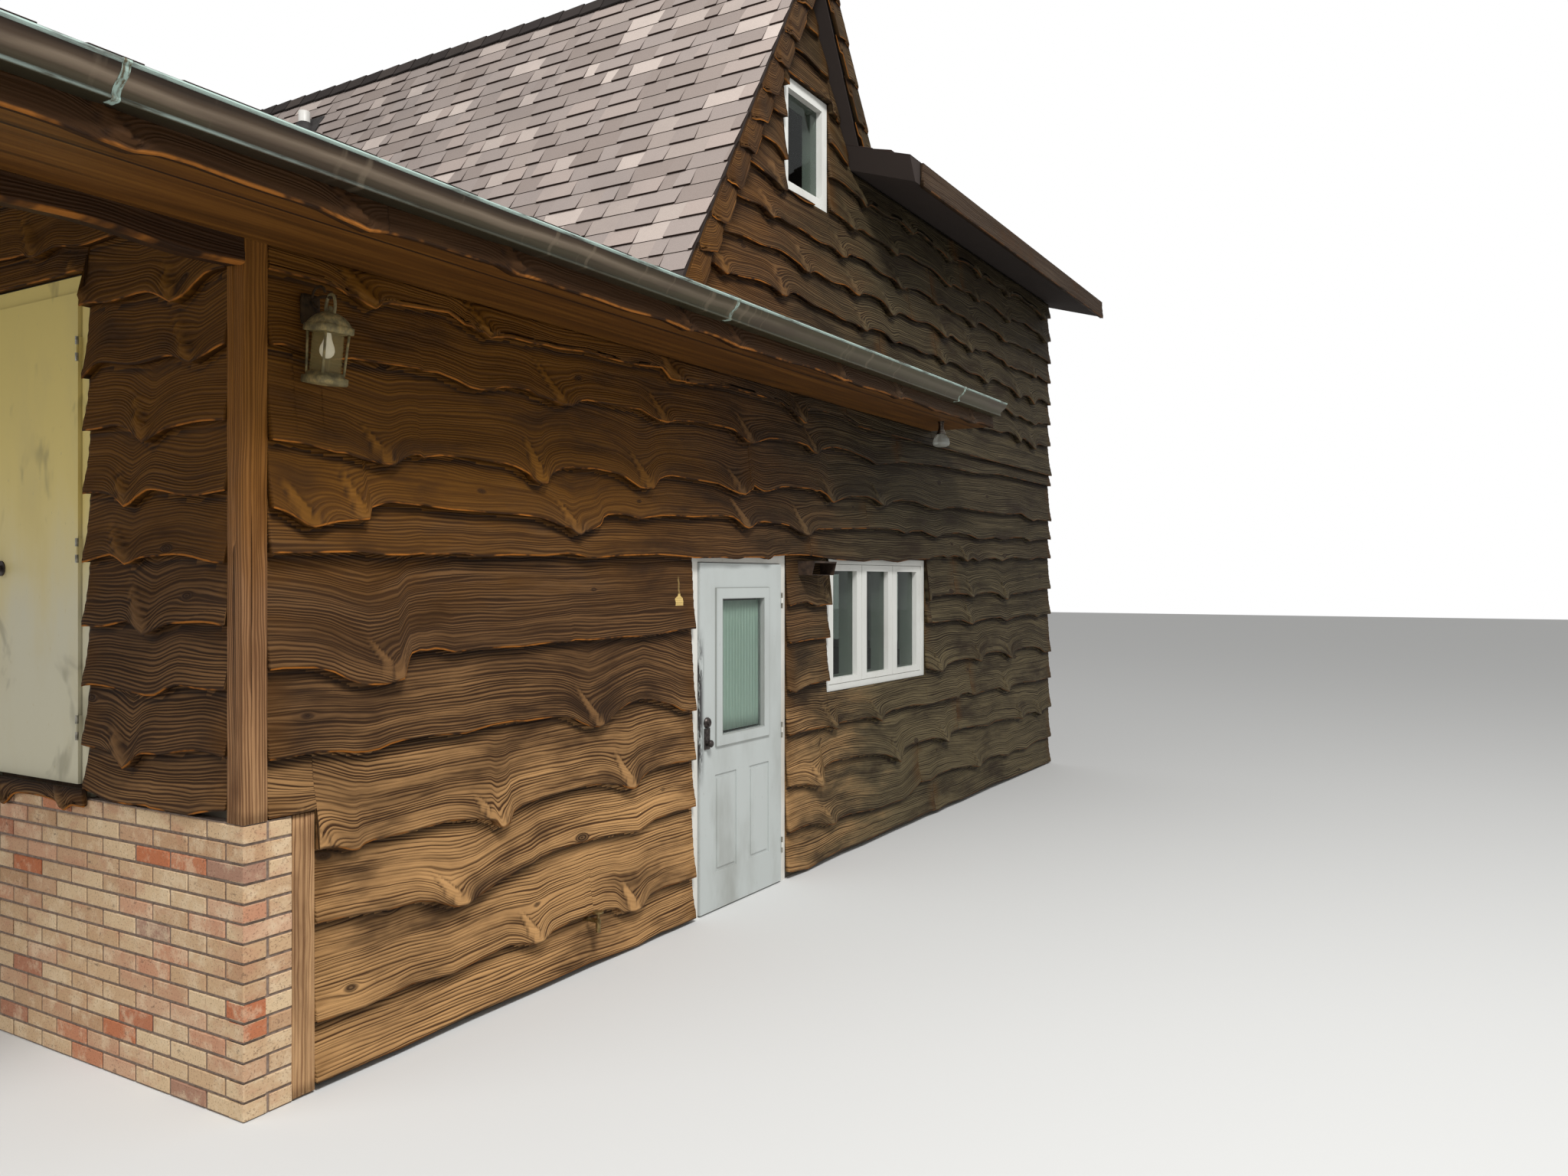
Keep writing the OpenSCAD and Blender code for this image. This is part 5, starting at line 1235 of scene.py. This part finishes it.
def bent_sheet(x0, x1, front, first=0, grow=0.0, thick=0.0016):
    """A strip of sheet bent to sheet_path: (depth, height) with, over the bead, the ogee
    depth = 0.069 + 0.051 * (u - 0.11 * sin(2 pi u)). grow carries it outwards, thick is the sheet."""
    path = sheet_path[first:]
    along = np.gradient(path, axis=0)
    out = np.stack([along[:, 1], -along[:, 0]], -1) / np.linalg.norm(along, axis=1)[:, None]
    ring = np.concatenate([path + out * grow, (path + out * (grow - thick))[::-1]])
    xs = np.linspace(x0, x1, max(2, int((x1 - x0) / 0.6)))
    points = np.empty((len(ring), len(xs), 3))
    points[..., 0] = xs[None]
    points[..., 1] = front * (gutter_back + ring[:, :1])
    points[..., 2] = gutter_foot + ring[:, 1:]
    place = np.concatenate([sheet_along[first:], sheet_along[first:][::-1]])
    k = np.arange(len(path) - 1)
    end = np.stack([k, k + 1, len(ring) - 2 - k, len(ring) - 1 - k], -1) * len(xs)
    points = points.reshape(-1, 3)
    faces = [grid_faces(len(ring), len(xs), wrap=True), end, end[:, ::-1] + len(xs) - 1]
    return points, outward(points, faces), None, {"sheet": np.repeat(place, len(xs))}


def closed_end(x, front):
    """A flat plate that closes a gutter's end."""
    outline = np.concatenate([sheet_path[2:], [(0.0, lip_h)]]) + [0, 0.0005]
    y, z = front * (gutter_back + outline[:, 0]), gutter_foot + outline[:, 1]
    flat = np.stack([np.full(len(outline), x), y, z], -1)
    points, faces = tube(np.stack([flat, flat + [end_plate, 0, 0]]))
    return points, faces, None, {"sheet": np.full(len(points), 0.6)}


x0, x1 = (corner[0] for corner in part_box("gutters"))
strips = [bent_sheet(x0, x1, front) for front in (-1, 1)]
strips += [closed_end(x, front) for front in (-1, 1) for x in (x0, x1 - end_plate)]
put("gutter_sheets", join(strips), copper, stands_for="gutters")
strap_half, lengths_meet = 0.012, (-5.49, -2.44, 0.61)
straps = [bent_sheet(x - strap_half, x + strap_half, front, 3, 0.0014, 0.0013)
          for front in (-1, 1) for x in lengths_meet]
put("gutter_sleeves", join(straps), verdigris)

# %% [markdown]
# ## Paint
# The entry door and the window frames are white, the store door and its panel are cream. Grime gathers low
# down, painted shade lines the creases round the moulding of the door's light, and years of hands and keys
# have scuffed the lock edge of the entry door black.

# %% Painted woodwork
def shade_line(xyz, low, high, width):
    """A soft line of painted shade round a rectangle in x and z: 1 on its border, 0 further off than width.
    """
    far = [abs(xyz[k] - (low[k] + high[k]) / 2) - (high[k] - low[k]) / 2 for k in (0, 2)]
    return step(abs(calc("MAXIMUM", *far)), width, 0.0)


def old_paint(name, shade, grime, scuffs=None, faded=None, shaded_outlines=()):
    """Gloss paint with faint brush marks, cloudy grime that grows towards the ground, and scuffs in a box,
    given as (x of the edge, lowest z, highest z, reach from the edge). faded is the shade that sun and rain
    have given the part below the eave's shadow. Lines of painted shade run round the rectangles given."""
    material = finish(name, 0.42)
    place = own_place()
    x, y, z = parts_of(place)
    cloud = noise(place, (3, 3, 1.2), 4, 0.6)
    if faded:
        shade = mix(step(z + cloud * 0.9, 2.9, 2.0), shade, faded)
    shade = coats(
        shade,
        (step(cloud, 0.42, 0.75) * (step(z, 1.4, 0.0) * 0.5 + 0.35), grime),
        (step(noise(place, (60, 60, 25), 2, 0.6), 0.68, 0.76) * 0.5, grime),
        # painted shade round the moulding's outlines
        *((shade_line((x, y, z), low, high, 0.006) * 0.5, (104, 104, 96)) for low, high in shaded_outlines),
    )
    if scuffs:
        x_edge, z_low, z_high, reach = scuffs
        tall = step(z, z_low, z_low + 0.25) * step(z, z_high, z_high - 0.25)
        smear = step(noise(place, (26, 26, 5), 4, 0.7), 0.4, 0.52)
        shade = mix(step(x, x_edge + reach, x_edge) * tall * smear, shade, (48, 46, 46))
    if faded:
        smudge = step(noise(place, (3.4, 3.4, 2.2), 3, 0.6, 0.8), 0.6, 0.72)
        shade = mix(smudge * 0.42, shade, (96, 88, 62))
    feed("Base Color", shade)
    bump(noise(place, (180, 180, 6), 2), 0.12, 0.0006)
    return material


pane_low, pane_high = (np.array(corner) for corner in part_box("entry_glass"))
# the outlines of the door light's moulding, where painted shade is drawn
mould = [(pane_low - off, pane_high + off) for off in (0.002, 0.066)]
white_gloss = old_paint("white_paint", (214, 214, 208), (176, 172, 160))
door_gloss = old_paint("door_paint", (184, 189, 186), (150, 152, 146), (-1.81, 0.7, 1.7, 0.05), shaded_outlines=mould)
frame_gloss = old_paint("door_frame_paint", (216, 214, 206), (160, 150, 134))
cream_gloss = old_paint("cream_paint", (220, 198, 118), (186, 170, 120), faded=(200, 194, 168))
paint(["front_window_frames", "back_window_frames", "lake_window_frames"], white_gloss)
paint(["entry_door"], door_gloss)
paint(["entry_frame"], frame_gloss)
paint(["store_frame", "store_door"], cream_gloss)
print("door paint", len(door_gloss.node_tree.nodes), "nodes")

# %% [markdown]
# ## Glass and blind
# The window panes stay clear solids with a smooth surface, slightly tinted by dust, and the empty room behind
# them is dark. A pale blind in narrow folds hangs behind the door's light; its pale green is partly a painted
# reflection of the sky in the pane. A fold is a sine across the cloth, deeper at the foot.

# %% Glass and cloth
def clear_glass(name, tint):
    """Glass that lets light through, tinted by the dust on it."""
    return finish(name, 0.02, sockets={"Base Color": tint, "Transmission Weight": 1.0, "IOR": 1.22})


paint(["front_window_glass", "back_window_glass", "lake_window_glass"],
      clear_glass("window_glass", (176, 186, 180)))
paint(["entry_glass"], clear_glass("door_glass", (236, 242, 240)))


def cloth(low, high, y0, folds, depth, seed):
    """A hanging sheet with two sides: y = y0 + depth * sin(folds across) * (0.6 + 0.4 * (1 - height))."""
    x = np.linspace(low[0], high[0], folds * 8 + 1)
    z = np.linspace(high[2], low[2], 9)
    down = np.linspace(0, 1, 9)[:, None]
    phase = 2 * np.pi * folds * (x - x[0]) / (x[-1] - x[0]) + 0.5 * np.sin(seed + 3 * x)
    y = y0 + depth * np.sin(phase)[None] * (0.6 + 0.4 * down)
    sheet = np.stack([np.broadcast_to(x, y.shape), y, np.broadcast_to(z[:, None], y.shape)], -1)
    rows, columns = y.shape
    side, count = grid_faces(rows, columns), rows * columns
    order = np.arange(count).reshape(rows, columns)
    rim = np.concatenate([order[0], order[1:, -1], order[-1, -2::-1], order[-2:0:-1, 0]])
    after = np.roll(rim, -1)
    edge = np.stack([rim, after, after + count, rim + count], -1)
    points = np.concatenate([sheet.reshape(-1, 3), sheet.reshape(-1, 3) + [0, 0.0008, 0]])
    return points, outward(points, [side[:, ::-1], side + count, edge])


blind_cloth = finish("blind_cloth", 0.85)
weave = noise(own_place(), (260, 260, 12), 2)
# The blind's pale green is partly a painted reflection of the sky in the pane.
feed("Base Color", ramp(weave, (0.3, (158, 178, 163)), (0.7, (176, 193, 178))))
clear_of_edge, behind_pane = np.array([0.004, 0, 0.01]), -3.598
blind = cloth(pane_low + clear_of_edge, pane_high - clear_of_edge, behind_pane, 14, 0.003, 1)
put("door_blind", blind, blind_cloth, body="entry_door_leaf", smooth=True)

# %% [markdown]
# ## Lathes and bars
# The lantern was once black iron and is now grey-olive and dusty. Its cap is a dome on a square, and it hangs
# by a loop from an arm that ends in a scroll. A square section whose size changes with the height gives cap,
# band and foot in one surface; loop and scroll are thin round bars carried along curves.

# %% Lathes and bars
def square_lathe(profile, sides=24):
    """A surface round the z axis whose section is a superellipse |x|^n + |y|^n = r^n, given row by row as
    (r, z, n). n = 2 is a circle, and a large n is nearly a square."""
    angle = 2 * np.pi * np.arange(sides) / sides
    r, z, n = np.array(profile, float).T[..., None]
    c, s = np.cos(angle), np.sin(angle)
    reach = (np.abs(c)[None] ** n + np.abs(s)[None] ** n) ** (-1 / n)
    return tube(np.stack([r * reach * c, r * reach * s, np.broadcast_to(z, reach.shape)], -1))


def round_lathe(profile):
    """The same with a round section; profile is (r, z)."""
    return square_lathe([(r, z, 2) for r, z in profile])


def bar(path, radius, sides=8):
    """A round bar along a curve. Each ring stands square to the path."""
    path = np.asarray(path, float)
    ahead = np.gradient(path, axis=0)
    ahead /= np.linalg.norm(ahead, axis=1)[:, None]
    across = np.cross(ahead, [1.0, 0.03, 0.02])
    across /= np.linalg.norm(across, axis=1)[:, None]
    over = np.cross(ahead, across)
    angle = 2 * np.pi * np.arange(sides) / sides
    ring = np.cos(angle)[None, :, None] * across[:, None] + np.sin(angle)[None, :, None] * over[:, None]
    return tube(path[:, None] + ring * radius)


def curve(y, z):
    """A path in the plane x = 0."""
    return np.stack([0 * y, y, z], -1)


hang, on_wall = np.array([-4.43, -3.775, 2.96]), np.array([-4.43, -3.65, 2.96])
lean = math.radians(7)
tilt = np.array([[1, 0, 0], [0, math.cos(lean), -math.sin(lean)], [0, math.sin(lean), math.cos(lean)]])


def hung(parts):
    """Parts drawn upright round the lantern's axis, leaned and carried to the arm's end."""
    points, faces = join(parts)
    return points @ tilt.T + hang, faces


print("the lantern hangs at", hang)

# %% [markdown]
# ## Lantern bracket
# A shaped plate is screwed to the boards, with an arm and a scroll of forged round bar. The iron has rusted
# dark brown. The plate is the square section again, laid on its side.

# %% Lantern bracket
spin = np.linspace(0, 1, 36)
curl = 0.05 - 0.032 * spin
scroll = curve(-0.055 + curl * np.sin(4.6 * spin) - 0.02 * spin, 0.055 - curl * np.cos(4.6 * spin))
arm = curve(np.linspace(-0.01, -0.128, 20), 0.03 + 0.012 * np.sin(np.linspace(0, 3.0, 20)))
plate, plate_faces = square_lathe([
    (0.04, -0.012, 9), (0.0415, -0.009, 9), (0.04, -0.002, 9), (0.03, 0.004, 6)])
plate = np.stack([plate[:, 0], -plate[:, 2] - 0.016, plate[:, 1] * 1.45], -1)
points, faces = join([(plate, outward(plate, plate_faces)), bar(arm, 0.006), bar(scroll, 0.0045)])
rusty = mottled("rusty_iron", {"roughness": 0.85, "gloss": 0.2}, (30.0, 4, 0.6),
                (0.35, (36, 26, 14)), (0.65, (64, 48, 28)))
put("lantern_bracket", (points + on_wall, faces), rusty, smooth=True)

# %% [markdown]
# ## Lantern
# Cap, band and foot are two square sections whose size changes with the height, held together by four thin
# corner bars, and the whole hangs by a loop, leaning a little. The glass between the bars is a solid of the
# frame, and only gets its finish here. A pear-shaped bulb shows faintly through the dust, with a faint
# painted glow, though it is not lit.

# %% Lantern
cap = [(0.0655, -0.097, 14), (0.067, -0.094, 14), (0.067, -0.072, 14), (0.062, -0.069, 12),
       (0.060, -0.063, 8), (0.054, -0.049, 6), (0.042, -0.035, 5), (0.026, -0.024, 4), (0.011, -0.018, 2),
       (0.009, -0.006, 2), (0.006, 0.002, 2)]
foot = [(0.03, -0.292, 8), (0.058, -0.289, 14), (0.062, -0.284, 14), (0.062, -0.262, 14), (0.052, -0.258, 14),
        (0.05, -0.245, 14)]
turn = 2 * np.pi * np.linspace(0, 1, 40)
loop = curve(0.026 * np.sin(turn), -0.004 + 0.05 * np.cos(turn))
bar_line = ((0.0465, -0.25), (0.049, -0.17), (0.052, -0.09))
corner_bars = [bar([(x * r, y * r, z) for r, z in bar_line], 0.0048, 6)
               for x, y in ((1, 1), (-1, 1), (-1, -1), (1, -1))]
iron = mottled("dusty_iron", {"roughness": 0.68, "metallic": 0.25}, (26.0, 5, 0.65), (0.3, (76, 68, 46)),
               (0.5, (120, 108, 72)), (0.72, (176, 152, 96)), dents=(0.3, 0.002))
put("lantern_iron", hung([square_lathe(cap), square_lathe(foot), bar(loop, 0.0056)] + corner_bars), iron,
    smooth=True, stands_for="wall_lantern")

dusty_glass = finish("dusty_glass", 0.2, gloss=0.3, sockets={"Base Color": (138, 122, 78), "Alpha": 0.3})
paint(["lantern_glass"], dusty_glass)
# The bulb's faint emission is a painted glow; the lantern is not lit.
bulb_glow = finish("bulb_painted_glow", 0.3, sockets={
    "Base Color": (252, 248, 230), "Emission Color": (250, 240, 210), "Emission Strength": 0.35})
bulb = [(0.009, -0.098), (0.0125, -0.112), (0.014, -0.12), (0.019, -0.134), (0.0255, -0.15), (0.0275, -0.163),
        (0.025, -0.176), (0.017, -0.187), (0.006, -0.192)]
put("lantern_bulb", hung([round_lathe(bulb)]), bulb_glow, smooth=True)

# %% [markdown]
# ## Small metalwork
# Handle, knob and hinges are bronze and galvanised steel with worn spots. The soffit lamp's bowl is clear
# ribbed glass under a steel collar: one solid in the frame, so the finish changes with the height.

# %% Metals and lamp
def old_metal(name, dark, pale, roughness, metallic, scale=40.0):
    """Metal that is dull in the hollows and rubbed bright on the rest."""
    material = finish(name, metallic=metallic)
    rub = noise(own_place(), scale, 4, 0.6)
    feed("Base Color", ramp(rub, (0.35, dark), (0.65, pale)))
    feed("Roughness", add("MapRange", {"Value": rub, "To Min": roughness + 0.15, "To Max": roughness - 0.1}))
    bump(rub, 0.15, 0.001)
    return material


bronze = old_metal("dark_bronze", (48, 42, 40), (92, 84, 80), 0.42, 0.8)
steel = old_metal("hinge_steel", (120, 116, 106), (176, 172, 160), 0.45, 0.7)
brass = old_metal("tap_brass", (96, 78, 48), (150, 128, 84), 0.45, 0.8)
sheet_metal = old_metal("hood_sheet", (44, 34, 28), (82, 64, 50), 0.55, 0.3, 18.0)
pvc = old_paint("vent_pipe_white", (212, 210, 204), (160, 154, 144))
paint(["entry_handle", "store_knob"], bronze)
paint(["entry_hinges", "store_hinges"], steel)
paint(["hose_tap"], brass)
paint(["vent_hood"], sheet_metal)
paint(["vent_pipe"], pvc)

lamp_finish = finish("lamp_glass_and_steel", 0.3)
is_steel = step(parts_of(own_place())[2], 3.064, 3.068)
steel_shade = ramp(noise(own_place(), 50.0, 3), (0.35, (92, 84, 76)), (0.65, (140, 132, 122)))
feed("Base Color", mix(is_steel, (206, 208, 200), steel_shade))
feed("Metallic", is_steel)
feed("Transmission Weight", (1 - is_steel) * 0.6)
paint(["soffit_lamp"], lamp_finish)
print("metals", [metal.name for metal in (bronze, steel, brass, sheet_metal)])

# %% [markdown]
# ## Ridge caps
# Folded shingles cap the ridges, each lapped over the one before, so the ridge is a row of low steps. One
# long fold would look like sheet metal. A cap is a short folded wedge, and a run of them is one array.

# %% Ridge caps
def ridge_run(start, stop, height, slope, half):
    """Folded wedges along x. Across the ridge, drop = slope * |distance|; each cap is thick at its foot."""
    count = int(abs(stop - start) / 0.2)
    edges = np.linspace(start, stop, count + 1)
    a, b = edges[:-1], edges[1:] + np.sign(stop - start) * 0.012
    b[-1] = stop
    across = np.array([-half, -half * 0.12, half * 0.12, half])
    drop = slope * np.sqrt(across ** 2 + 0.006 ** 2)
    rows = []
    for place, z in ((a, height - drop), (b, height - drop - 0.009)):
        line = np.stack(np.broadcast_arrays(place[:, None], across[None], z[None]), -1)
        rows += [line, line - [0, 0, 0.012]]
    quads = [[0, 8, 12, 4], [3, 7, 15, 11]]
    for k in range(3):
        quads += [[k, k + 1, 9 + k, 8 + k], [4 + k, 12 + k, 13 + k, 5 + k], [k, 4 + k, 5 + k, k + 1],
                  [8 + k, 9 + k, 13 + k, 12 + k]]
    points = np.concatenate(rows, 1).reshape(-1, 3)
    return points, outward(points, [repeated(np.array(quads), count, 16)])


def along_y(part):
    """A part with x and y changed over, so that a run along x runs along y."""
    points = part[0][:, [1, 0, 2]]
    return points, outward(points, part[1])


over_low, over_lake, over_steep = 4.4647, 6.1445, 6.302
low_slope, lake_slope = math.tan(math.radians(14)), math.tan(math.radians(16.5))
points, faces = along_y(ridge_run(-3.73, 3.73, over_steep, steep, 0.07))
points, faces = join([
    ridge_run(-8.2, -1.65, over_low, low_slope, 0.14), (points + [ridge_x, 0, 0], faces),
    ridge_run(5.0, -0.4, over_lake, lake_slope, 0.14)])
caps = len(points) // 16
attributes = {"tone": np.repeat(np.random.default_rng(4).uniform(0, 1, caps), 16),
              "lift": np.tile(np.repeat([1, 0, 1, 0], 4), caps)}
# butt darkens the caps' undersides and cut ends as painted shade
cap_finish = granules("ridge_granules", ((58, 51, 48), (48, 42, 40), (40, 35, 33), (70, 62, 57)),
                      faded=(36, 32, 30), butt=(22, 17, 15))
put("ridge_shingles", (points, faces, None, attributes), cap_finish, stands_for="ridge_caps")

# %% [markdown]
# ## Vent pipe and its boot
# A white plastic vent pipe comes out of the steep roof. A lead boot keeps the rain out: a cone round the
# pipe over a sheet that lies on the shingles. Pipe and cone are round sections, and the sheet is a thin
# block laid along the slope.

# %% Vent pipe and boot
pipe_x, pipe_y = -0.841, 1.15
foot_of_pipe = np.array([pipe_x, pipe_y, 0])
slope = np.array([math.cos(steep_angle), 0, math.sin(steep_angle)])
lead = mottled("lead_boot", {"roughness": 0.7, "metallic": 0.2}, (22.0, 4),
               (0.3, (34, 31, 30)), (0.7, (62, 58, 56)))
pipe, pipe_faces = round_lathe([
    (0.048, 5.64), (0.048, 5.957), (0.0465, 5.96), (0.0425, 5.96), (0.0415, 5.957), (0.0415, 5.75)])
cone = round_lathe([(0.124, 5.545), (0.12, 5.6), (0.112, 5.68), (0.1, 5.76), (0.082, 5.815), (0.06, 5.85),
                    (0.0495, 5.866)])
flange, flange_faces = block((-0.19, -0.17, 0.012), (0.17, 0.17, 0.017))
flange = (flange[:, :1] * slope + flange[:, 1:2] * [0, 1.0, 0] + flange[:, 2:] * [-slope[2], 0, slope[0]]
          + [0, 0, ridge_z + steep * (pipe_x - ridge_x)])
boot, boot_faces = join([cone, (flange, outward(flange, flange_faces))])
put("pipe_boot", (boot + foot_of_pipe, boot_faces), lead)
put("vent_stack", (pipe + foot_of_pipe, pipe_faces), pvc, smooth=True, stands_for="vent_pipe")

# %% [markdown]
# ## Inside
# The rooms are empty. Through the door and the windows one sees plain plaster, boarded floors upstairs and
# behind the store door, and a concrete slab. The walls and floors are solids of the frame, so they only need
# their finish, and a dark, cloudy one keeps the rooms from shining through the panes: the plaster's dark
# colour is painted shade of the dim rooms.

# %% Inner surfaces
# The plaster's dark colour is painted shade: it stands for the dimness of the unlit rooms.
plaster = mottled("plaster", {"roughness": 0.9}, (2.2, 4), (0.3, (86, 78, 66)), (0.7, (108, 100, 86)))
bump(noise(own_place(), 90.0, 2), 0.1, 0.001)
wall_nodes = [n for n in nodes if "wall_" in n and not n.startswith("wall_")
              or n in ("back_wall", "lake_wall") or n.endswith("upper_wall")]
paint(wall_nodes, plaster)
floor_wood = plain_wood("floor_boards", ((52, 38, 26), (68, 50, 34), (84, 64, 44)), 0.12)
paint(["store_floor", "upper_floor"], floor_wood)
concrete = mottled("concrete", {"roughness": 0.9}, (30.0, 5), (0.3, (136, 132, 124)), (0.7, (168, 164, 156)),
                   dents=(0.2, 0.002))
paint(["ground_floor"], concrete)
print("plastered", wall_nodes)

# %% [markdown]
# ## Floor, light and background
# A pale floor and a white background keep the colours honest, and the soft key light from the camera's left
# shows the grain of the front wall without burning out the white door.

# %% Stage and lights
def stage_floor(half=60):
    """A large square under the cabin."""
    mesh = bpy.data.meshes.new("floor")
    corners = [(-half, -half, 0), (half, -half, 0), (half, half, 0), (-half, half, 0)]
    mesh.from_pydata(corners, [], [(0, 1, 2, 3)])
    floor = bpy.data.objects.new("floor", mesh)
    bpy.context.scene.collection.objects.link(floor)
    mesh.materials.append(finish("pale_floor", 0.9, sockets={"Base Color": (205, 205, 203)}))


def lamp(name, place, aim, size, power):
    """An area lamp that looks at a point."""
    data = bpy.data.lights.new(name, "AREA")
    data.size, data.energy = size, power
    made = bpy.data.objects.new(name, data)
    bpy.context.scene.collection.objects.link(made)
    made.location = place
    x, y, z = np.array(aim) - np.array(place)
    made.rotation_euler = (math.atan2(math.hypot(x, y), -z), 0, math.atan2(x, -y) + math.pi)


stage_floor()
lamp("key", (-7.0, -10.5, 12.5), (-1.5, -3.5, 2), 3.0, 1900)
lamp("fill", (-14, 2, 7), (-4, 0, 2), 8, 500)
world = bpy.data.worlds.new("studio")
bpy.context.scene.world = world
world.use_nodes = True
in_hand["tree"] = world.node_tree
world.node_tree.nodes.clear()
seen_by_camera = add("LightPath", out="Is Camera Ray")
soft, white = (add("Background", {"Color": (255, 255, 255), "Strength": power}) for power in (0.55, 1.0))
add("OutputWorld", {"Surface": add("MixShader", {0: seen_by_camera, 1: soft, 2: white})})
bpy.context.scene.view_settings.view_transform = "Standard"
